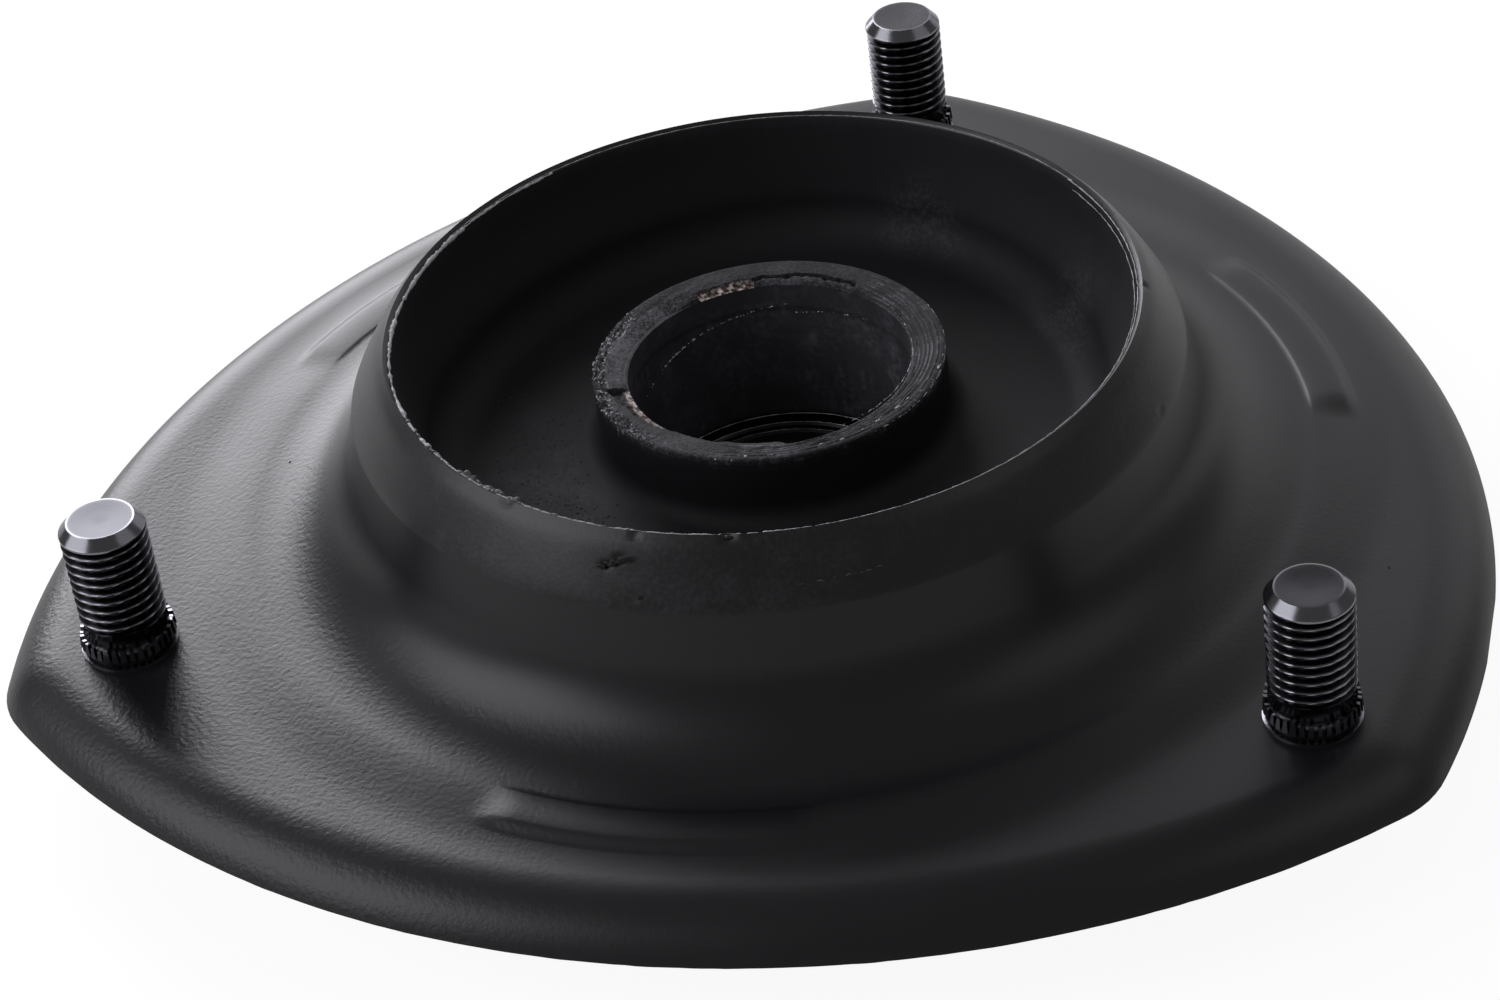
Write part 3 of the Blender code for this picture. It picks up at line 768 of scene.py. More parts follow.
@dataclass(frozen=True)
class Stud:
    """A pressed-in stud: fine rolled thread, chamfered end, undercut, and a serrated collar in the plate."""

    number: int
    thread_radius: float = 5.0 * MM
    pitch: float = 1.25 * MM
    thread_depth: float = 0.68 * MM
    flank_angle: float = 30.0
    end_face: float = 3.9 * MM
    chamfer: float = 1.2 * MM
    height: float = 17.7 * MM
    undercut_radius: float = 4.5 * MM
    undercut_length: float = 1.7 * MM
    collar_radius: float = 5.5 * MM
    collar_height: float = 2.4 * MM
    circle: float = 79.5 * MM
    head_radius: float = 7.0 * MM
    head_top: float = -3.1 * MM
    head_bottom: float = -5.5 * MM
    teeth: int = 34
    tooth_depth: float = 0.62 * MM
    tooth_height: float = 1.7 * MM
    steps: int = 80

    @property
    def centre(self) -> Vector:
        """The stud's axis in the plane of the pads."""
        angle = math.pi / 2.0 + 2.0 * math.pi * (self.number - 1) / 3.0
        return Vector((self.circle * math.cos(angle), self.circle * math.sin(angle), 0.0))

    def thread(self, turns: np.ndarray) -> tuple[np.ndarray, np.ndarray, np.ndarray]:
        """The rolled thread and the chamfer over it.

        Args:
            turns: the columns' angles in radians.

        Returns:
            The height, the radius, and the share of rubbed steel and painted highlight of every point.
        """
        low = self.collar_height + self.undercut_length
        heights = np.arange(low, self.height - 0.02 * MM, self.pitch / 16.0)[:, None]
        phase = heights / self.pitch - turns / (2.0 * math.pi)
        off = np.abs(phase % 1.0 - 0.5) * self.pitch
        flank = self.thread_depth * math.tan(math.radians(self.flank_angle))
        sunk = np.clip((off - self.pitch / 16.0) / flank, 0.0, 1.0) * self.thread_depth
        shoulder = self.height - self.chamfer
        cone = self.end_face + (self.height - heights) * (self.thread_radius - self.end_face) / self.chamfer
        threaded = np.minimum(self.thread_radius - sunk, self.undercut_radius + (heights - low) * 1.3)
        smooth = heights > shoulder - 0.25 * MM
        radius = np.where(smooth, np.minimum(cone, self.thread_radius), threaded)
        # Lighter crests, chamfer and a line at the thread's shoulder: partly rubbed steel, partly painted
        # highlights.
        crest = stripe(radius, self.thread_radius, 0.02 * MM, 0.16 * MM)
        edge = stripe(heights, shoulder, 0.06 * MM, 0.20 * MM)
        rubbed = np.maximum(np.where(heights > shoulder, 0.7, crest), edge)
        return np.broadcast_to(heights, radius.shape), radius, rubbed

    def shank_points(self) -> tuple[np.ndarray, np.ndarray]:
        """Shape the shank: head, collar, undercut, rolled thread and chamfered end.

        Returns:
            The grid of points, and how much rubbed steel and painted highlight each of them shows.
        """
        turns = full_circle(self.steps)
        heights, radius, rubbed = self.thread(turns)
        core, base = self.collar_radius - 0.45 * MM, self.collar_radius + 0.10 * MM
        neck, collar = self.undercut_radius, self.collar_height
        # The third numbers paint a highlight line round the collar's base and a faint one at its top.
        before = (
            (self.head_radius - 0.5 * MM, self.head_bottom, 0.0),
            (self.head_radius, self.head_bottom + 0.5 * MM, 0.0),
            (self.head_radius, self.head_top, 0.0),
            (core, self.head_top, 0.0),
            (core, -0.1 * MM, 0.0),
            (base, -0.05 * MM, 0.6),
            (base, 0.16 * MM, 1.0),
            (core, 0.30 * MM, 0.2),
            (core, collar - 0.8 * MM, 0.0),
            (core - 0.15 * MM, collar - 0.35 * MM, 0.3),
            (neck + 0.1 * MM, collar - 0.1 * MM, 0.0),
            (neck - 0.05 * MM, collar + 0.2 * MM, 0.0),
            (neck - 0.08 * MM, heights[0, 0] - 0.4 * MM, 0.0),
        )
        face, end = self.end_face, self.height
        # A painted highlight ring round the end face's edge; the face itself is a little rubbed.
        after = (
            (face + 0.02 * MM, end - 0.02 * MM, 1.0),
            (face - 0.15 * MM, end, 1.0),
            (face - 0.26 * MM, end, 0.35),
            (face * 0.85, end - 0.01 * MM, 0.3),
            (face * 0.6, end - 0.06 * MM, 0.3),
            (face * 0.3, end - 0.11 * MM, 0.3),
            (face * 0.1, end - 0.12 * MM, 0.25),
        )
        grids = []
        for column, middle in enumerate((radius, heights, rubbed)):
            foot, top = (np.array(part)[:, [column]].repeat(self.steps, axis=1) for part in (before, after))
            grids.append(np.concatenate([foot, middle, top]))
        points = polar(grids[0], grids[1], turns)
        wear = 0.03 * MM * lattice_noise(points + self.number, 1.3 * MM, 40 + self.number)
        points[..., :2] *= 1.0 - np.abs(wear[..., None]) / self.thread_radius
        return points, grids[2]

    def serrations(self, node: Maker, given: Any) -> Any:
        """Teeth of slightly uneven size that stand in a ring, painted lighter as rubbed steel and highlights.

        Args:
            node: adds a node and returns its outputs.
            given: the tree's inputs.

        Returns:
            The teeth's geometry.
        """
        circle = node("GeometryNodeMeshCircle", {"Vertices": given["Teeth"], "Radius": given["Radius"]})[0]
        cone = {"Vertices": 4, "Side Segments": 2, "Radius Top": 0.45, "Radius Bottom": 0.72, "Depth": 1.0}
        # Every tooth is painted fully lighter: partly rubbed steel, partly painted highlight.
        worn = {"Geometry": node("GeometryNodeMeshCone", cone)["Mesh"], "Name": "worn", "Value": 1.0}
        tooth = node("GeometryNodeStoreNamedAttribute", worn, data_type="FLOAT", domain="POINT")[0]
        outward = {"Vector": node("GeometryNodeInputPosition")["Position"]}
        turn = node("FunctionNodeAlignRotationToVector", outward, axis="X")[0]
        corner = {"Rotation": turn, "Rotate By": (0.0, 0.0, math.radians(45.0))}
        spin = node("FunctionNodeRotateRotation", corner, rotation_space="LOCAL")[0]
        spread = {2: 0.72, 3: 1.12, "Seed": 3 + self.number}
        vary = node("FunctionNodeRandomValue", spread, data_type="FLOAT")[1]
        sides = {"X": given["Depth"], "Y": given["Width"], "Z": given["Height"]}
        size = node("ShaderNodeCombineXYZ", sides)[0]
        scale = node("ShaderNodeVectorMath", {0: size, "Scale": vary}, operation="SCALE")[0]
        ring = {"Points": circle, "Instance": tooth, "Rotation": spin, "Scale": scale}
        placed = node("GeometryNodeInstanceOnPoints", ring)[0]
        return node("GeometryNodeTransform", {"Geometry": placed, "Translation": given["Centre"]})[0]

    def build(self) -> list[bpy.types.Object]:
        """Turn the stud, cut its serrations and return both pieces."""
        name = f"stud_{self.number}"
        points, worn = self.shank_points()
        mesh = grid_mesh(f"{name}_shank", points + np.array(self.centre), closed=False, sharp=28.0)
        paint(mesh, "worn", worn)
        shank = add_piece(mesh, [Look.STUD], Slot.STUD, [name])
        sizes = {
            "Teeth": self.teeth,
            "Radius": self.collar_radius - 0.32 * MM,
            "Width": 0.80 * 2.0 * math.pi * self.collar_radius / self.teeth,
            "Depth": self.tooth_depth,
            "Height": self.tooth_height,
            "Centre": self.centre + Vector((0.0, 0.0, self.collar_height - 1.35 * MM)),
        }
        teeth = grow(f"{name}_serrations", sizes, Look.STUD, self.serrations)
        return [shank, add_piece(teeth, [], Slot.STUD)]


@dataclass(frozen=True)
class Mark:
    """A chip or dent in the rubber: direction in degrees, height, size and depth in millimetres."""

    azimuth: float
    height: float
    size: float
    depth: float


@dataclass(frozen=True)
class DustPatch:
    """Dust in the trough: direction and half width in degrees, radius and half depth in millimetres."""

    azimuth: float
    radius: float
    wide: float
    deep: float
    amount: float


@dataclass(frozen=True)
class RubberInsulator:
    """The moulding: shoulder and rim, trough with soft lobes, worn sleeve top, and the skirt underneath."""

    wall: DomeWall = DomeWall()
    bond: float = 0.03 * MM
    proud: float = 0.12 * MM
    rim_radius: float = 44.6 * MM
    rim_height: float = 23.7 * MM
    crest: float = 0.6 * MM
    flatness: float = 1.4
    trough_radius: float = 41.2 * MM
    outer_fillet: float = 5.5 * MM
    inner_fillet: float = 2.5 * MM
    floor: float = 7.6 * MM
    lobe: float = 1.6 * MM
    lobe_start: float = 29.0 * MM
    coat_radius: float = 21.0 * MM
    bore_radius: float = 16.9 * MM
    sleeve_top: float = 16.6 * MM
    steel_top: float = 15.5 * MM
    steps: int = 560
    shoulder_span: float = 0.55 * MM
    trough_span: float = 1.2 * MM
    crown_span: float = 0.13 * MM
    hidden_span: float = 3.0 * MM
    # Radii in millimetres and heights of the steps that a washer pressed into the coat.
    ridges: tuple[Point, ...] = (
        (17.35, 0.08),
        (17.75, 0.12),
        (18.30, 0.12),
        (18.75, 0.05),
        (19.25, 0.08),
        (19.95, 0.06),
    )
    marks: tuple[Mark, ...] = (
        Mark(261.6, 20.5, 0.8, 0.14),
        Mark(263.4, 21.3, 0.8, 0.16),
        Mark(265.6, 17.6, 0.6, 0.10),
        Mark(269.4, 16.9, 0.6, 0.10),
        Mark(350.0, 17.4, 0.6, 0.10),
        Mark(265.0, 23.4, 0.7, 0.25),
        Mark(278.2, 23.5, 0.9, 0.45),
        Mark(244.0, 23.5, 0.9, 0.25),
        Mark(10.6, 23.4, 0.5, 0.30),
    )
    dust_patches: tuple[DustPatch, ...] = (
        DustPatch(212.0, 29.0, 38.0, 9.0, 1.1),
        DustPatch(238.0, 31.0, 24.0, 7.0, 1.1),
        DustPatch(33.0, 39.0, 15.0, 4.5, 0.9),
        DustPatch(75.0, 40.0, 13.0, 3.0, 0.8),
        DustPatch(345.0, 33.0, 30.0, 6.0, 0.3),
    )

    def shoulder_point(self, turn: float) -> Point:
        """A point of the shoulder's curve; its angle in radians runs from the shut-off line to the rim.

        Args:
            turn: the angle in radians.

        Returns:
            The point as (r, z).
        """
        low = self.wall.wall_top
        high = self.rim_height - self.crest / 2.0
        shoulder = self.wall.crease(0.0)[0] + self.proud
        climb = (high - low) * math.sin(turn) ** self.flatness
        lean = climb * math.tan(math.radians(self.wall.lean)) * math.cos(turn) ** 2
        fall = (shoulder - self.rim_radius) * math.cos(turn) ** self.flatness
        return self.rim_radius + fall - lean, low + climb

    def shoulder(self) -> list[Point]:
        """The outside as (r, z): from the shut-off line up the shoulder and over the rim's crest."""
        points = [self.shoulder_point(turn) for turn in np.radians(np.linspace(0.0, 72.0, 24))]
        points.append((self.rim_radius, self.rim_height - 0.02 * MM))
        points.append((self.rim_radius - 0.5 * self.crest, self.rim_height - 0.25 * MM))
        return points

    def trough(self) -> list[Point]:
        """The trough as (r, z): down the rim's inside, across the floor and up the sleeve's side."""
        outer, inner = self.outer_fillet, self.inner_fillet
        points = [(self.rim_radius - self.crest, self.rim_height - self.crest)]
        points += arc((self.trough_radius - outer, self.floor + outer), outer, 0.0, -90.0, 12)
        points += arc((self.coat_radius + inner, self.floor + inner), inner, 270.0, 180.0, 8)
        return points

    def crown(self) -> list[Point]:
        """The coat over the sleeve's top before it was worn, as (r, z), from its outer edge to the bore."""
        inward = ((0.0, 0.75), (0.03, 0.30), (0.14, 0.08), (0.40, 0.0), (2.20, 0.06))
        outward = ((0.80, 0.22), (0.30, 0.42), (0.0, 0.90))
        points = [(self.coat_radius - r * MM, self.sleeve_top - z * MM) for r, z in inward]
        return points + [(self.bore_radius + r * MM, self.sleeve_top - z * MM) for r, z in outward]

    def back(self) -> list[Point]:
        """The side that is bonded or hidden, as (r, z), from the bore's top back to the shut-off line."""
        points = [(self.bore_radius, self.steel_top), (20.1 * MM, self.steel_top)]
        skirt = ((20.1, -0.7), (23.3, -0.7), (23.3, -8.0), (25.5, -8.0), (29.25, -5.2), (33.0, -2.4))
        points += [(r * MM, z * MM) for r, z in skirt]
        depth = self.wall.sheet + self.bond
        reach = self.wall.foot_fillet + depth
        centre = self.wall.foot_centre
        start = math.asin((centre[1] - 3.0 * MM) / reach)
        points.append((centre[0] - reach * math.cos(start) - 5.6 * MM, -2.4 * MM))
        points += arc(centre, reach, 180.0 + math.degrees(start), 180.0 + self.wall.lean, 8)
        inner, outer = self.wall.lip(depth)[::-1], self.wall.lip(-self.bond)
        turn = math.radians(self.wall.lip_angle)
        along = (-math.sin(turn) * self.bond, math.cos(turn) * self.bond)
        return points + inner + [(r + along[0], z + along[1]) for r, z in (inner[-1], outer[0])] + outer

    def wear(self, azimuth: np.ndarray, radius: np.ndarray, points: np.ndarray) -> dict[str, np.ndarray]:
        """How the coat on the sleeve's top is worn: stepped, smeared, cracked and torn.

        Args:
            azimuth: angles round the bore in degrees.
            radius: distances from the axis in millimetres.
            points: the points themselves in metres, for ragged edges.

        Returns:
            The "drop" and "inward" moves in millimetres, and the "bare", "dust", "matt" and "gap" shares;
            "dust" also holds painted highlights and "gap" is painted shade.
        """
        cells = ((1.7, 21), (0.55, 22), (0.32, 31))
        broad, fine, grit = (lattice_noise(points, cell * MM, seed) for cell, seed in cells)
        level = points * (1.0, 1.0, 0.0)
        winding, ripple = (lattice_noise(level, cell * MM, seed) for cell, seed in ((2.0, 24), (0.6, 25)))

        # The left is smeared smooth, slopes to the bore and is lighter in colour.
        smear = sector(azimuth, 172.0, 44.0, 22.0)
        band = smear * ease(radius, 17.1, 17.6) * ease(19.5 - radius + 0.3 * broad, 0.0, 0.3)
        drop = smear * 0.75 * ease(20.4 - radius, 0.0, 3.4)

        # The right keeps the washer's steps, each with a raised, dusty line.
        ridged = sector(azimuth, 344.0, 88.0, 20.0)
        lines = np.zeros_like(radius)
        for at, step in self.ridges:
            edge = at + 0.06 * broad
            raised = 0.10 * stripe(radius, edge + 0.12, 0.0, 0.10)
            drop += ridged * (step * ease(edge - radius, 0.0, 0.08) - raised)
            line = stripe(radius, edge + 0.10, 0.03, 0.10) * ease(broad + 0.5 * fine, -0.4, 0.5)
            lines = np.maximum(lines, ridged * line)

        # A patch at the back and a notch at the front left are torn down to the steel.
        patch = sector(azimuth, 121.5, 11.5 + 2.5 * fine, 0.8)
        patch *= ease(17.85 + 0.22 * broad + 0.12 * fine - radius, 0.0, 0.10)
        notch_edge = 19.5 - 2.0 * np.clip((azimuth - 204.0) / 39.0, 0.0, 1.0) + 0.30 * broad + 0.12 * fine
        notch = ease(azimuth - 204.0 + 1.2 * fine, 0.0, 0.8) * ease(244.0 - azimuth + 2.0 * fine, 0.0, 2.0)
        notch *= ease(notch_edge - radius, 0.0, 0.10)
        strip = notch * ease(17.75 + 0.25 * broad - radius, 0.0, 0.15)

        # A crack winds on from the patch.
        path = 17.80 + 0.30 * winding + 0.20 * ripple
        cracked = ease(azimuth - 66.0, 0.0, 3.0) * ease(110.0 - azimuth, 0.0, 1.0)
        crack = cracked * stripe(radius, path, 0.10, 0.20)
        inside = cracked * ease(path - radius, 0.0, 0.1)

        # Crumbs stick to the left edge, and all of the coat is gritty.
        crumbs = sector(azimuth, 200.0, 50.0, 20.0) * ease(radius + 0.3 * broad, 19.3, 19.8)
        drop += np.abs(crumbs * 0.45 * (0.5 * broad + grit)) + (1.0 - band) * 0.06 * np.abs(grit)
        drop += patch * (0.55 + 0.25 * grit) + notch * (0.70 + 0.15 * grit) + crack * 0.8 + inside * 0.12

        # A flap hangs into the bore at the front.
        inward = sector(azimuth, 275.0, 15.0 + 2.5 * broad, 6.0) * 0.70 * ease(17.6 - radius, 0.0, 0.5)

        # Painted highlights: pale lines along the bore's edge and the coat's outer edge, laid into the dust
        # share.
        painted_edge_highlight = stripe(radius, 17.05, 0.05, 0.16) * sector(azimuth, 345.0, 75.0, 30.0)
        painted_edge_highlight = np.maximum(painted_edge_highlight, stripe(radius, 20.92, 0.04, 0.12) * sector(azimuth, 12.0, 30.0, 12.0))
        rubbed = ridged * ease(radius, 19.9, 20.1) * ease(broad + fine, -0.2, 0.6)
        dust = 0.34 - 0.24 * ridged + 0.9 * band + 1.6 * painted_edge_highlight + 3.4 * crumbs * ease(grit, 0.15, 0.5)
        dust = np.clip(dust + 2.4 * lines + 0.7 * rubbed, 0.0, 3.5)
        dust = (dust + 0.4 * inside) * (1.0 - np.clip(crack + notch - strip, 0.0, 1.0))
        step = notch * stripe(radius, notch_edge, 0.15, 0.45)
        # Painted shade in the crack and on the notch's step, with dark grains in the torn patch.
        gap = crack + 0.8 * step + 0.6 * patch * ease(-grit, 0.3, 0.7)
        shares = {"bare": patch + 0.75 * strip, "matt": 1.0 - band, "gap": gap}
        shares = {name: np.clip(share, 0.0, 1.0) for name, share in shares.items()}
        return {"drop": drop, "inward": inward, "dust": dust, **shares}

    def shape(self) -> tuple[np.ndarray, dict[str, np.ndarray]]:
        """Shape the moulding.

        Returns:
            The grid of points, and the "dust", "bare", "matt" and "gap" shares of every point; on the
            sleeve's top "dust" also holds painted highlights and "gap" is painted shade.
        """
        sides = [self.shoulder(), self.trough(), self.crown(), self.back()]
        spans = (self.shoulder_span, self.trough_span, self.crown_span, self.hidden_span)
        joined = zip(sides, sides[1:] + sides[:1], spans)
        profile = [subdivide(side + after[:1], span) for side, after, span in joined]
        points = lathe(np.concatenate(profile), self.steps)
        radius = np.hypot(points[..., 0], points[..., 1])
        azimuth = np.degrees(np.arctan2(points[..., 1], points[..., 0])) % 360.0
        height = points[..., 2].copy()

        inside = (height > self.floor - 0.01 * MM) & (radius < self.trough_radius + 2.5 * MM)
        inside &= radius > self.coat_radius + self.inner_fillet
        reach = np.clip((radius - self.lobe_start) / (self.trough_radius - self.lobe_start), 0.0, 1.0)
        fade = 1.0 - ease(height, self.floor + 4.0 * MM, self.floor + 2.2 * self.outer_fillet)
        swell = 0.5 + 0.5 * np.cos(np.radians(3.0 * (azimuth - 150.0)))
        move = np.where(inside, self.lobe * swell * reach * fade, 0.0)
        points[..., :2] *= (1.0 - move / radius)[..., None]

        top_zone = (height > self.steel_top + 0.05 * MM) & (radius < self.coat_radius + 0.02 * MM)
        worn = self.wear(azimuth, radius / MM, points)
        worn = {name: np.where(top_zone, values, 0.0) for name, values in worn.items()}
        depth = height - self.steel_top - 0.03 * MM
        points[..., 2] -= np.where(top_zone, np.minimum(worn["drop"] * MM, depth), 0.0)
        points[..., :2] *= (1.0 - worn["inward"] * MM / radius)[..., None]

        for index, mark in enumerate(self.marks):
            gap = angle_gap(azimuth, mark.azimuth)
            near = (np.abs(gap) < 6.0) & (height > self.wall.wall_top + 0.3 * MM) & (radius > 43.0 * MM)
            ragged = 1.0 + 0.5 * lattice_noise(points, 0.7 * MM, 50 + index)
            across = np.radians(gap) * radius
            away = np.hypot(across, (height - mark.height * MM) * 1.5) / (mark.size * MM * ragged)
            hollow = np.where(near, stripe(away, 0.0, 0.45, 1.0) * mark.depth * MM, 0.0)
            turn = math.radians(mark.azimuth)
            points -= hollow[..., None] * (math.cos(turn), math.sin(turn), 0.4)

        dust = np.zeros_like(radius)
        dusty = (inside & (height < self.floor + 9.0 * MM)) | (radius > 38.0 * MM)
        for patch in self.dust_patches:
            across = angle_gap(azimuth, patch.azimuth) / patch.wide
            away = np.hypot(across, (radius / MM - patch.radius) / patch.deep)
            dust = np.maximum(dust, np.where(dusty, stripe(away, 0.0, 0.25, 1.0) * patch.amount, 0.0))
        outside = (height > self.wall.wall_top) & (radius > self.trough_radius + 2.2 * MM)
        front = stripe(angle_gap(azimuth, 256.0), 0.0, 20.0, 60.0)
        dust = np.where(outside, np.maximum(0.1, 0.4 * front), dust)
        dust = np.where(top_zone, worn["dust"], dust)
        return points, {"dust": dust + 0.04, **{name: worn[name] for name in ("bare", "matt", "gap")}}

    def build(self) -> bpy.types.Object:
        """Mould the rubber, finish its shoulder, trough and worn top, and return its piece."""
        points, shares = self.shape()
        mesh = grid_mesh("rubber_moulding", points, sharp=48.0)
        for name, values in shares.items():
            paint(mesh, name, values)
        looks = [Look.DULL_RUBBER, Look.RUBBER, Look.SCUFFED]
        piece = add_piece(mesh, looks, Slot.RUBBER, ["rubber_insulator"])
        centres = np.zeros(len(mesh.polygons) * 3)
        mesh.polygons.foreach_get("center", centres)
        x, y, z = centres.reshape(-1, 3).T
        reach = np.hypot(x, y)
        crown = (z > self.steel_top) & (reach < self.coat_radius + 0.02 * MM)
        shoulder = (z > self.wall.wall_top - 0.05 * MM) & (reach > self.rim_radius - self.crest)
        mesh.polygons.foreach_set("material_index", (shoulder + 2 * crown).astype(np.int32))
        mesh.update()
        return piece


@dataclass(frozen=True)
class ArcDetail:
    """Something fine along an arc round the bore. Lengths are in millimetres and angles in degrees."""

    name: str
    radius: float
    height: float
    start: float
    sweep: float

    def build(self, look: Look, slot: Slot) -> bpy.types.Object:
        """Lay the detail in its finish, and return its piece.

        Args:
            look: its finish.
            slot: its record slot.

        Returns:
            The piece.
        """
        sizes = {
            "Radius": self.radius * MM,
            "Height": self.height * MM,
            "Start": math.radians(self.start),
            "Sweep": math.radians(self.sweep),
            **self.sizes(),
        }
        return add_piece(grow(self.name, sizes, look, self.nodes), [], slot)

    def path(self, node: Maker, given: Any) -> Any:
        """Add the arc's curve to the tree, in the plane of the pads.

        Args:
            node: adds a node and returns its outputs.
            given: the tree's inputs.

        Returns:
            The curve.
        """
        ends = {"Start Angle": given["Start"], "Sweep Angle": given["Sweep"]}
        sizes = {"Resolution": given["Points"], "Radius": given["Radius"], **ends}
        return node("GeometryNodeCurveArc", sizes, mode="RADIUS")["Curve"]

    def sizes(self) -> dict[str, Any]:
        """The kind's own inputs, with the number of "Points" along the arc."""
        raise NotImplementedError

    def nodes(self, node: Maker, given: Any) -> Any:
        """Add the kind's nodes and return their geometry."""
        raise NotImplementedError


@dataclass(frozen=True)
class FineBead(ArcDetail):
    """A fine bead: torn flash along the rim, or a bright wire along an edge as a painted highlight."""

    thickness: float
    ragged: float
    seed: float
    # Degrees times millimetres of radius from point to point, which is 0.157 mm along the arc.
    spacing: float = 9.0
    # Shreds of flash bend about once a millimetre and swell about every other.
    bend: float = 10.0 / 9.0
    lump: float = 25.0 / 13.0

    def sizes(self) -> dict[str, Any]:
        """The bead's thickness, raggedness and seed, and the number of points along it."""
        points = int(self.sweep * (self.radius * MM) / (self.spacing * MM))
        ragged = self.ragged * MM
        return {"Points": points, "Thickness": self.thickness * MM, "Raggedness": ragged, "Seed": self.seed}

    def nodes(self, node: Maker, given: Any) -> Any:
        """Sweep a section of uneven width along a ragged arc.

        Args:
            node: adds a node and returns its outputs.
            given: the tree's inputs.

        Returns:
            The bead's geometry.
        """
        rise = node("ShaderNodeCombineXYZ", {"Z": given["Height"]})[0]
        lifted = node("GeometryNodeTransform", {"Geometry": self.path(node, given), "Translation": rise})[0]
        here = {"Vector": node("GeometryNodeInputPosition")["Position"], "W": given["Seed"]}
        shreds = {**here, "Scale": 1.0 / (self.bend * MM), "Detail": 3.0, "Roughness": 0.7}
        noise = node("ShaderNodeTexNoise", shreds, noise_dimensions="4D")["Color"]
        centred = node("ShaderNodeVectorMath", {0: noise, 1: (0.5, 0.5, 0.5)}, operation="SUBTRACT")[0]
        reach = {0: centred, "Scale": given["Raggedness"]}
        offset = node("ShaderNodeVectorMath", reach, operation="SCALE")[0]
        moved = node("GeometryNodeSetPosition", {"Geometry": lifted, "Offset": offset})[0]
        swells = {**here, "Scale": 1.0 / (self.lump * MM), "Detail": 4.0, "Roughness": 0.75}
        lumps = node("ShaderNodeTexNoise", swells, noise_dimensions="4D")["Fac"]
        span = {"Value": lumps, "From Min": 0.38, "From Max": 0.64, "To Min": 0.25, "To Max": 1.0}
        width = node("ShaderNodeMapRange", span)["Result"]
        sized = node("GeometryNodeSetCurveRadius", {"Curve": moved, "Radius": width})[0]
        circle = {"Resolution": 6, "Radius": given["Thickness"]}
        section = node("GeometryNodeCurvePrimitiveCircle", circle, mode="RADIUS")["Curve"]
        scale = node("GeometryNodeInputRadius")["Radius"]
        sweep = {"Curve": sized, "Profile Curve": section, "Scale": scale, "Fill Caps": True}
        return node("GeometryNodeCurveToMesh", sweep)[0]


@dataclass(frozen=True)
class Flecks(ArcDetail):
    """A run of small flecks: scratches, crumbs, dust, a witness line, and grains of painted highlight and
    painted shade.
    """

    count: int
    size: float
    spread: float
    stretch: float = 1.0
    rise: float = 0.0
    lift: float = 0.04

    def sizes(self) -> dict[str, Any]:
        """The flecks' number, size, spread, stretch, rise along the arc and lift off the surface."""
        lengths = {"Size": self.size, "Spread": self.spread, "Rise": self.rise, "Lift": self.lift}
        lengths = {name: length * MM for name, length in lengths.items()}
        return {"Points": self.count, "Stretch": self.stretch, **lengths}

    def nodes(self, node: Maker, given: Any) -> Any:
        """Scatter grains of uneven size along an arc that may rise.

        Args:
            node: adds a node and returns its outputs.
            given: the tree's inputs.

        Returns:
            The flecks' geometry.
        """
        dots = node("GeometryNodeCurveToPoints", {"Curve": self.path(node, given)}, mode="EVALUATED")
        index = node("GeometryNodeInputIndex")["Index"]
        share = node("ShaderNodeMath", {0: index, 1: given["Points"]}, operation="DIVIDE")[0]
        climb = {0: share, 1: given["Rise"], 2: given["Height"]}
        level = node("ShaderNodeMath", climb, operation="MULTIPLY_ADD")[0]
        centre = node("ShaderNodeCombineXYZ", {"Z": level})[0]
        ends = {0: (-1.0, -1.0, -1.0), 1: (1.0, 1.0, 1.0), "Seed": 11}
        jitter = node("FunctionNodeRandomValue", ends, data_type="FLOAT_VECTOR")[0]
        sides = {"X": given["Spread"], "Y": given["Spread"], "Z": given["Lift"]}
        reach = node("ShaderNodeCombineXYZ", sides)[0]
        offset = node("ShaderNodeVectorMath", {0: jitter, 1: reach, 2: centre}, operation="MULTIPLY_ADD")[0]
        moved = node("GeometryNodeSetPosition", {"Geometry": dots["Points"], "Offset": offset})[0]
        pick = node("FunctionNodeRandomValue", {2: 0.15, 3: 1.0, "Seed": 17}, data_type="FLOAT")[1]
        few_large = node("ShaderNodeMath", {0: pick, 1: 2.2}, operation="POWER")[0]
        size = node("ShaderNodeMath", {0: few_large, 1: given["Size"]}, operation="MULTIPLY")[0]
        long = node("ShaderNodeMath", {0: size, 1: given["Stretch"]}, operation="MULTIPLY")[0]
        grain = {
            "Points": moved,
            "Instance": node("GeometryNodeMeshIcoSphere", {"Radius": 1.0, "Subdivisions": 1})["Mesh"],
            "Rotation": node("FunctionNodeAlignRotationToVector", {"Vector": dots["Tangent"]}, axis="Y")[0],
            "Scale": node("ShaderNodeCombineXYZ", {"X": size, "Y": long, "Z": size})[0],
        }
        return node("GeometryNodeInstanceOnPoints", grain)[0]


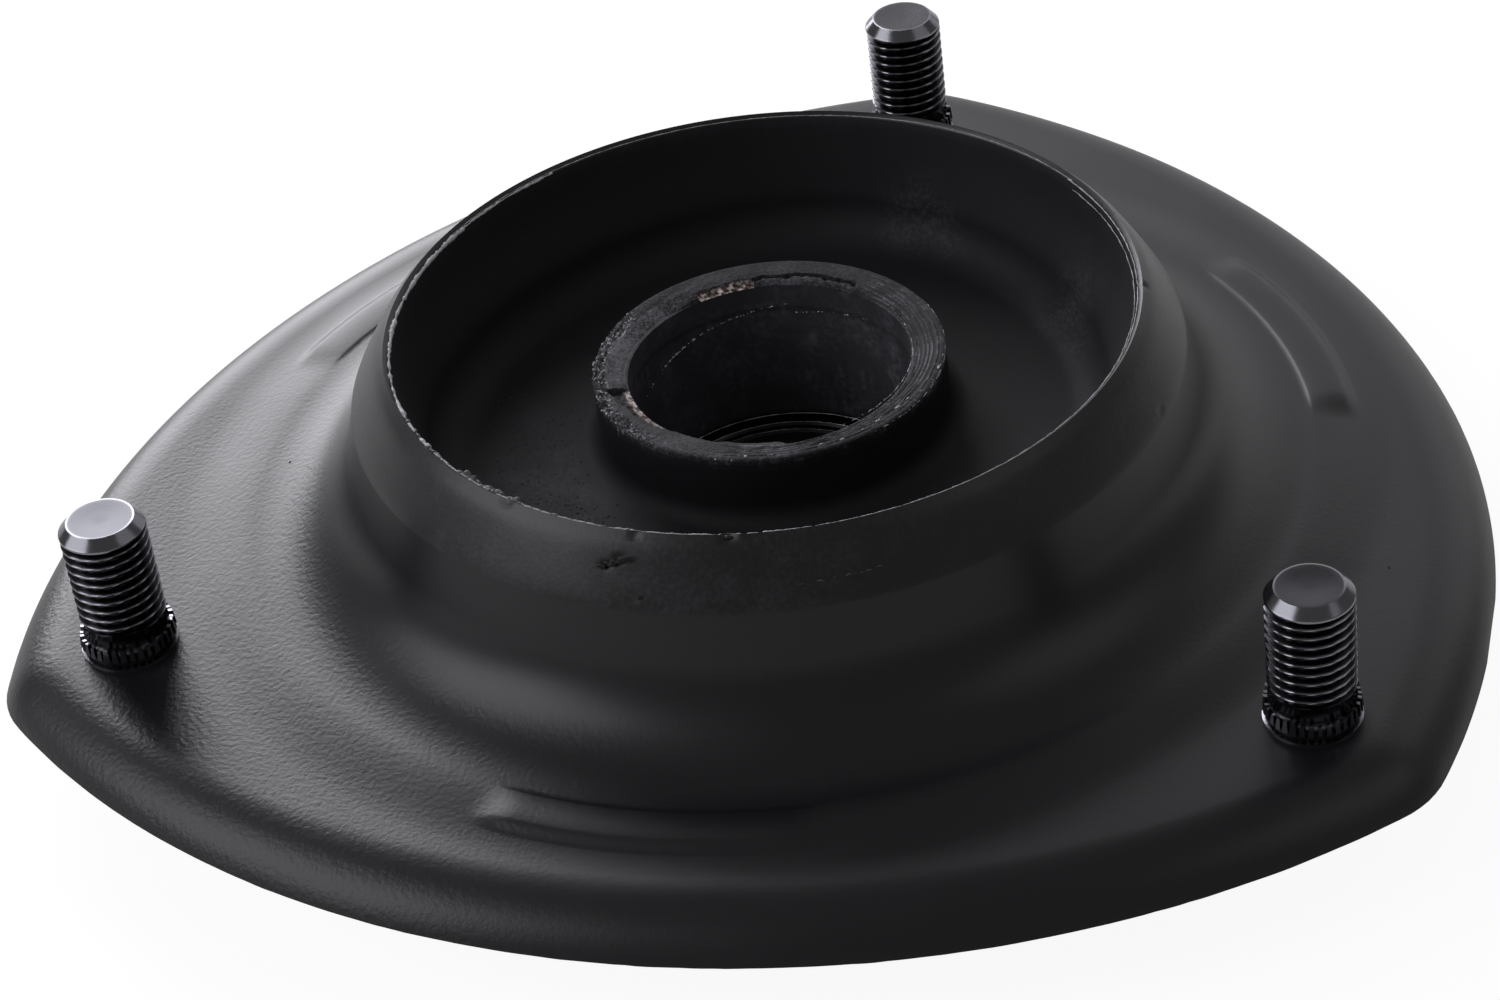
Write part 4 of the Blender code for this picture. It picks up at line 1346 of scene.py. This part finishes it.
@dataclass(frozen=True)
class InnerSleeve:
    """The steel tube in the middle, with the bearing's seat below and a rolled lip."""

    bore_radius: float = 16.9 * MM
    bore_step: float = 0.12 * MM
    outer_radius: float = 19.8 * MM
    top: float = 15.48 * MM
    shoulder: float = -3.7 * MM
    seat_radius: float = 20.3 * MM
    seat_outer: float = 23.0 * MM
    bottom: float = -17.8 * MM
    lip_top: float = -16.3 * MM
    lip_reach: float = 1.6 * MM
    edge: float = 1.5 * MM
    span: float = 0.5 * MM
    steps: int = 240

    def build(self) -> bpy.types.Object:
        """Turn the sleeve, streak its bore and return its piece."""
        lip = self.seat_radius - self.lip_reach
        profile = [
            (self.bore_radius, self.top),
            (self.bore_radius, 12.3 * MM),
            (self.bore_radius + self.bore_step, 12.1 * MM),
            (self.bore_radius + self.bore_step, self.shoulder + 0.5 * MM),
            (self.bore_radius + 0.35 * MM, self.shoulder + 0.12 * MM),
            (self.bore_radius + 0.5 * MM, self.shoulder),
            (self.seat_radius, self.shoulder),
            (self.seat_radius, self.lip_top),
            (lip, self.lip_top),
            (lip, self.bottom + 0.2 * MM),
            (lip + 0.2 * MM, self.bottom),
            *arc((self.seat_outer - self.edge, self.bottom + self.edge), self.edge, 270.0, 360.0, 6),
            (self.seat_outer, -1.4 * MM),
            (self.seat_outer - 0.4 * MM, -1.0 * MM),
            (self.outer_radius, -1.0 * MM),
            (self.outer_radius, self.top),
        ]
        points = lathe(subdivide(profile + profile[:1], self.span), self.steps)
        mesh = grid_mesh("sleeve_tube", points)
        streaks = lattice_noise(points * (1.0, 1.0, 0.25), 0.5 * MM, 61)
        paint(mesh, "dust", 0.5 + 0.5 * lattice_noise(points, 3.0 * MM, 60) + ease(streaks, 0.45, 0.9))
        return add_piece(mesh, [Look.BORE], Slot.SLEEVE, ["inner_sleeve"])


@dataclass(frozen=True)
class BallBearing:
    """The sealed deep-groove bearing: two ground rings, nine balls, a pressed cage and two lip seals."""

    radius: float = 20.0 * MM
    bore: float = 7.0 * MM
    width: float = 12.0 * MM
    centre: float = -10.0 * MM
    balls: int = 9
    ball_radius: float = 2.778 * MM
    pitch_radius: float = 13.5 * MM
    land: float = 2.0 * MM
    chamfer: float = 0.6 * MM
    gap: float = 0.3 * MM
    seal_thickness: float = 0.7 * MM
    span: float = 1.6 * MM
    steps: int = 144

    def ring(self, name: str, side: float, edge: float) -> bpy.types.Mesh:
        """Turn one ring.

        Args:
            name: the ring's name.
            side: one for the outer ring, minus one for the inner.
            edge: radius of its outside, or of its bore.

        Returns:
            The ring's mesh.
        """
        half = self.width / 2.0
        land = self.pitch_radius + side * self.land
        bend = self.ball_radius + self.gap
        reach = math.degrees(math.acos(self.land / bend))
        middle = 0.0 if side > 0 else 180.0
        low = -90.0 if side > 0 else 270.0
        back, rounded = edge - side * self.chamfer, half - self.chamfer
        profile = [(land, self.gap - half)]
        profile += [(self.pitch_radius + side * r, z) for r, z in arc((0.0, 0.0), bend, -reach, reach, 14)]
        profile += [(land, half - self.gap), (land + side * self.gap, half)]
        profile += arc((back, rounded), self.chamfer, 90.0, middle, 6)
        profile += arc((back, -rounded), self.chamfer, middle, low, 6)
        profile += [(land + side * self.gap, -half)]
        placed = [(r, z + self.centre) for r, z in profile]
        return grid_mesh(name, lathe(subdivide(placed + placed[:1], self.span), self.steps), sharp=30.0)

    def seal(self, name: str, side: float) -> bpy.types.Mesh:
        """Mould one seal, a flat ring with a shallow step and a lip.

        Args:
            name: the seal's name.
            side: one above the balls, minus one below.

        Returns:
            The seal's mesh.
        """
        outer = self.pitch_radius + self.land - self.gap
        inner = self.pitch_radius - self.land + self.gap
        out = self.width / 2.0 - self.gap
        lip = ((0.0, 0.15), (0.35, 0.0), (0.9, 0.05), (1.1, 0.25))
        rim = ((0.9, 0.25), (0.7, 0.03), (0.2, 0.0), (0.0, 0.15))
        profile = [(inner + r * MM, out - z * MM) for r, z in lip]
        profile += [(outer - r * MM, out - z * MM) for r, z in rim]
        profile += [(outer, out - self.seal_thickness), (inner, out - self.seal_thickness)]
        placed = [(r, side * z + self.centre) for r, z in profile]
        return grid_mesh(name, lathe(placed, self.steps), sharp=30.0)

    def ball(self, number: int) -> bpy.types.Mesh:
        """Grind one ball, counted from one.

        Args:
            number: the ball's number.

        Returns:
            The ball's mesh.
        """
        turn = 2.0 * math.pi * (number - 1) / self.balls
        points = lathe(arc((0.0, 0.0), self.ball_radius, -90.0, 90.0, 16)[1:-1], 28)
        points += (self.pitch_radius * math.cos(turn), self.pitch_radius * math.sin(turn), self.centre)
        return grid_mesh(f"bearing_ball_{number:02d}", points, closed=False, sharp=180.0)

    def build(self, cage: bpy.types.Object) -> list[bpy.types.Object]:
        """Assemble the bearing round its cage, whose solid stays as it is, and return its pieces.

        Args:
            cage: the cage's solid.

        Returns:
            The new pieces.
        """
        outer, inner = self.ring("outer_race", 1.0, self.radius), self.ring("inner_race", -1.0, self.bore)
        pieces = [
            add_piece(outer, [Look.RACE], Slot.BEARING, ["bearing_outer_ring"]),
            add_piece(inner, [Look.RACE], Slot.BEARING, ["bearing_inner_ring"], Body.INNER_RING.value),
            add_piece(self.seal("seal_above", 1.0), [Look.SEAL], Slot.SEAL, ["upper_seal"]),
            add_piece(self.seal("seal_below", -1.0), [Look.SEAL], Slot.SEAL, ["lower_seal"]),
        ]
        for number in range(1, self.balls + 1):
            node = f"ball_{number:02d}"
            pieces.append(add_piece(self.ball(number), [Look.BALL], Slot.BEARING, [node], f"{node}_body"))
        cage.data.materials.clear()
        cage.data.materials.append(Look.CAGE.material())
        return pieces


@dataclass(frozen=True)
class SoftBox:
    """A large studio lamp: where it stands from the mount, how wide it looks and how bright its face is."""

    name: str
    azimuth: float
    elevation: float
    width: float
    height: float
    radiance: float
    distance: float = 1.3

    def build(self) -> bpy.types.Object:
        """Hang the lamp and return it."""
        angles = (self.width, self.height)
        wide, tall = (2.0 * self.distance * math.tan(math.radians(angle / 2.0)) for angle in angles)
        lamp = bpy.data.lights.new(self.name, "AREA")
        lamp.shape = "RECTANGLE"
        lamp.size, lamp.size_y = wide, tall
        lamp.energy = math.pi * wide * tall * self.radiance
        lamp.color = linear("fafaff")[:3]
        thing = link(self.name, lamp)
        az, el = math.radians(self.azimuth), math.radians(self.elevation)
        place = Vector((math.cos(az) * math.cos(el), math.sin(az) * math.cos(el), math.sin(el)))
        place *= self.distance
        thing.location = place
        thing.rotation_euler = (-place).to_track_quat("-Z", "Y").to_euler()
        thing.visible_camera = False
        return thing


@dataclass(frozen=True)
class Studio:
    """Pale floor, soft lamps and the camera that looks down on the mount from the front right."""

    floor_height: float = -17.85 * MM
    floor_size: float = 9.0
    shadow_share: float = 0.18
    mirrored_share: float = 0.80
    glow: float = 1.13
    ambient: float = 0.185
    camera_place: Triple = (0.11331, -0.36895, 0.27339)
    right: Triple = (0.980933, 0.180916, -0.070996)
    up: Triple = (-0.050458, 0.589855, 0.805931)
    back: Triple = (0.187683, -0.786982, 0.587737)
    lens: float = 93.872
    shift: Point = (-0.16, -0.0035)
    boxes: tuple[SoftBox, ...] = (
        SoftBox("back_left_box", 126.0, 20.0, 30.0, 46.0, 5.0),
        SoftBox("left_box", 207.0, 34.0, 44.0, 34.0, 2.4),
        SoftBox("back_panel", 78.0, 22.0, 54.0, 38.0, 0.62, 1.6),
        SoftBox("right_box", 0.0, 44.0, 36.0, 26.0, 0.42),
    )

    def white_paper(self) -> bpy.types.Material:
        """Matt white paper that shows white to the camera and in reflections and keeps a faint shadow."""
        material = bpy.data.materials.new("white_paper")
        material.use_nodes = True
        material.node_tree.nodes.clear()
        node = partial(add_node, material.node_tree)
        path = node("ShaderNodeLightPath")
        camera = path["Is Camera Ray"]
        seen = camera
        for other in ("Is Glossy Ray", "Is Transmission Ray"):
            seen = node("ShaderNodeMath", {0: seen, 1: path[other]}, operation="MAXIMUM")[0]
        matt = node("ShaderNodeBsdfDiffuse", {"Color": linear("e6e6e6")})[0]
        glow = node("ShaderNodeEmission", {"Color": linear("ffffff"), "Strength": self.glow})[0]
        shares = {"Value": camera, "To Min": self.mirrored_share, "To Max": self.shadow_share}
        part = node("ShaderNodeMixShader", {0: node("ShaderNodeMapRange", shares)[0], 1: glow, 2: matt})[0]
        surface = node("ShaderNodeMixShader", {0: seen, 1: matt, 2: part})[0]
        node("ShaderNodeOutputMaterial", {"Surface": surface})
        return material

    def build_floor(self) -> None:
        """Lay the floor just under the mount."""
        half, z = self.floor_size / 2.0, self.floor_height
        mesh = bpy.data.meshes.new("floor")
        corners = [(-half, -half, z), (half, -half, z), (half, half, z), (-half, half, z)]
        mesh.from_pydata(corners, [], [(0, 1, 2, 3)])
        mesh.materials.append(self.white_paper())
        link("floor", mesh)

    def build_world(self) -> None:
        """Give the studio a dim grey surround that the camera sees as white."""
        world = bpy.data.worlds.new("studio")
        world.use_nodes = True
        world.node_tree.nodes.clear()
        node = partial(add_node, world.node_tree)
        dim, white = (
            node("ShaderNodeBackground", {"Color": linear("ffffff"), "Strength": strength})[0]
            for strength in (self.ambient, 1.0)
        )
        camera = node("ShaderNodeLightPath")["Is Camera Ray"]
        surface = node("ShaderNodeMixShader", {0: camera, 1: dim, 2: white})[0]
        node("ShaderNodeOutputWorld", {"Surface": surface})
        bpy.context.scene.world = world

    def build_camera(self) -> None:
        """Set up the camera."""
        data = bpy.data.cameras.new("camera")
        data.sensor_fit = "HORIZONTAL"
        data.sensor_width = 36.0
        data.lens = self.lens
        data.shift_x, data.shift_y = self.shift
        data.clip_start, data.clip_end = 0.01, 50.0
        camera = link("camera", data)
        columns = Matrix((self.right, self.up, self.back)).transposed()
        camera.matrix_world = Matrix.Translation(self.camera_place) @ columns.to_4x4()
        bpy.context.scene.camera = camera

    def build(self) -> None:
        """Set up floor, surround, lamps and camera."""
        self.build_floor()
        self.build_world()
        for box in self.boxes:
            box.build()
        self.build_camera()
        bpy.context.scene.view_settings.view_transform = "Standard"


@dataclass(frozen=True)
class DetailSet:
    """Fine details that share a finish and a record slot."""

    look: Look
    slot: Slot
    details: tuple[ArcDetail, ...]


@dataclass(frozen=True)
class StrutMount:
    """The whole mount: every sub-assembly in building order."""

    plate: PressedPlate = PressedPlate()
    studs: tuple[Stud, ...] = (Stud(1), Stud(2), Stud(3))
    insulator: RubberInsulator = RubberInsulator()
    sleeve: InnerSleeve = InnerSleeve()
    bearing: BallBearing = BallBearing()
    # The rim's flash, painted pale as a highlight on thin black rubber.
    rim_flash: DetailSet = DetailSet(
        Look.FLASH,
        Slot.RUBBER,
        (
            FineBead("rim_flash_front", 44.0, 23.15, 220.0, 68.0, 0.21, 0.45, 4.0),
            FineBead("rim_flash_right", 44.0, 23.2, 287.0, 118.0, 0.13, 0.22, 5.0),
            FineBead("rim_flash_back", 44.1, 23.3, 44.0, 119.0, 0.08, 0.12, 6.0),
            FineBead("rim_flash_frayed", 43.6, 22.6, 318.0, 85.0, 0.09, 0.35, 7.0),
        ),
    )
    # Torn shreds at the front left, painted mid grey as a dimmer highlight.
    rim_tear: DetailSet = DetailSet(
        Look.TEAR,
        Slot.RUBBER,
        (
            FineBead("rim_tear_left", 43.9, 23.05, 214.0, 34.0, 0.34, 0.90, 2.0),
            FineBead("rim_tear_flap", 43.6, 22.95, 233.0, 12.0, 0.50, 1.3, 3.0),
            FineBead("rim_tear_front", 43.9, 23.0, 246.0, 24.0, 0.26, 0.60, 11.0),
        ),
    )
    # The flash on the left, painted white as the side that faces the light.
    rim_flash_lit_side: DetailSet = DetailSet(
        Look.SCRATCH_AND_HIGHLIGHT,
        Slot.RUBBER,
        (
            FineBead("rim_flash_left", 44.0, 23.0, 160.0, 65.0, 0.42, 0.45, 1.0),
            FineBead("rim_flash_far_left", 44.0, 23.1, 140.0, 26.0, 0.24, 0.35, 12.0),
        ),
    )
    # Bright wires along the bore's lower edges, laid as painted highlights.
    glints: DetailSet = DetailSet(
        Look.PAINTED_GLINT,
        Slot.SLEEVE,
        (
            FineBead("sleeve_edge_glint", 17.00, -3.55, 62.0, 86.0, 0.11, 0.06, 8.0),
            FineBead("race_edge_glint", 15.75, -3.98, 66.0, 76.0, 0.08, 0.06, 9.0),
            FineBead("seal_edge_glint", 14.6, -4.28, 74.0, 56.0, 0.06, 0.06, 10.0),
        ),
    )
    scratches_and_edge_highlights: DetailSet = DetailSet(
        Look.SCRATCH_AND_HIGHLIGHT,
        Slot.SLEEVE,
        (
            Flecks("bore_witness_left", 16.84, 12.9, 96.0, 38.0, 44, 0.10, 0.04, 1.8, -1.8),
            Flecks("bore_witness_bright", 16.84, 11.1, 134.0, 22.0, 40, 0.17, 0.04, 1.8, -1.6),
            Flecks("bore_witness_end", 16.84, 9.6, 155.0, 16.0, 14, 0.09, 0.05, 2.0, -1.7),
            Flecks("bore_witness_right", 16.84, 12.5, 59.0, 34.0, 26, 0.09, 0.05, 2.2, -0.9),
            Flecks("sleeve_scratches_right", 20.8, 16.50, -12.0, 20.0, 16, 0.18, 0.18, 2.2),
            Flecks("sleeve_scratches_front", 20.1, 16.50, 298.0, 46.0, 34, 0.15, 0.45, 3.6),
            Flecks("sleeve_specks_front", 20.0, 16.56, 215.0, 85.0, 12, 0.20, 0.50, 1.2),
            # Painted highlights: white flecks along the sleeve's outer edge and the bore's edge on the right.
            Flecks("sleeve_edge_right", 20.94, 16.34, 318.0, 84.0, 130, 0.07, 0.03, 6.0),
            Flecks("bore_edge_right", 17.02, 16.08, 312.0, 90.0, 110, 0.06, 0.03, 6.0),
        ),
    )
    crumbs: DetailSet = DetailSet(
        Look.FLASH,
        Slot.RUBBER,
        (
            Flecks("sleeve_crumbs_left", 20.2, 16.32, 154.0, 66.0, 420, 0.21, 0.70, 1.3),
            Flecks("sleeve_crumbs_front", 20.5, 16.42, 218.0, 60.0, 70, 0.14, 0.40, 1.3),
            Flecks("notch_crumbs", 17.6, 15.95, 234.0, 10.0, 12, 0.34, 0.30, 1.6),
        ),
    )
    dust: DetailSet = DetailSet(
        Look.GRIT,
        Slot.RUBBER,
        (
            Flecks("floor_dust_left", 29.0, 7.62, 182.0, 64.0, 700, 0.13, 6.0),
            Flecks("floor_dust_front", 27.5, 7.62, 250.0, 70.0, 260, 0.11, 4.0),
            Flecks("shoulder_scratch", 48.3, 18.9, 287.0, 11.0, 30, 0.09, 0.06, 4.0, 0.4, 0.1),
        ),
    )
    specks_and_chip_shade: DetailSet = DetailSet(
        Look.SPECK_AND_CHIP_SHADE,
        Slot.PAINT,
        (
            # Painted shade: dark grains in the shoulder's chips and pits and on the rim's chip.
            Flecks("shoulder_chip", 47.3, 20.1, 260.4, 4.0, 46, 0.30, 0.22, 2.6, 1.7, 0.25),
            Flecks("shoulder_pits_left", 48.6, 17.5, 265.0, 1.6, 9, 0.22, 0.20, 2.0, 0.0, 0.4),
            Flecks("shoulder_pits_right", 48.9, 16.4, 267.6, 2.6, 10, 0.20, 0.20, 2.2, 0.0, 0.3),
            Flecks("rim_chip", 44.6, 23.3, 277.4, 1.6, 12, 0.26, 0.20, 2.0, 0.0, 0.1),
            Flecks("flange_speck_front", 70.1, 0.15, 209.2, 0.4, 3, 0.34, 0.12),
            Flecks("flange_speck_foot", 61.0, 1.34, 184.8, 0.4, 3, 0.28, 0.12),
            Flecks("flange_speck_rear", 69.0, 0.25, 169.8, 0.4, 3, 0.30, 0.12),
            Flecks("flange_speck_right", 75.6, 0.0, 349.8, 0.7, 5, 0.26, 0.20, 1.6),
        ),
    )

    def build(self, nodes: dict[str, bpy.types.Object]) -> None:
        """Build every piece; the nodes are the solids by name.

        Args:
            nodes: the solids by name.
        """
        self.plate.build()
        for stud in self.studs:
            stud.build()
        self.insulator.build()
        self.sleeve.build()
        self.bearing.build(nodes["ball_cage"])
        rim = (self.rim_flash, self.rim_tear, self.rim_flash_lit_side)
        for group in (*rim, self.glints, self.scratches_and_edge_highlights, self.crumbs, self.dust, self.specks_and_chip_shade):
            for detail in group.details:
                detail.build(group.look, group.slot)


def main() -> None:
    """Load the solids, dress the mount and set up the studio."""
    logging.basicConfig(level=logging.INFO, format="%(name)s %(message)s")
    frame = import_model()
    StrutMount().build(frame["nodes"])
    Studio().build()


if __name__ == "__main__":
    main()
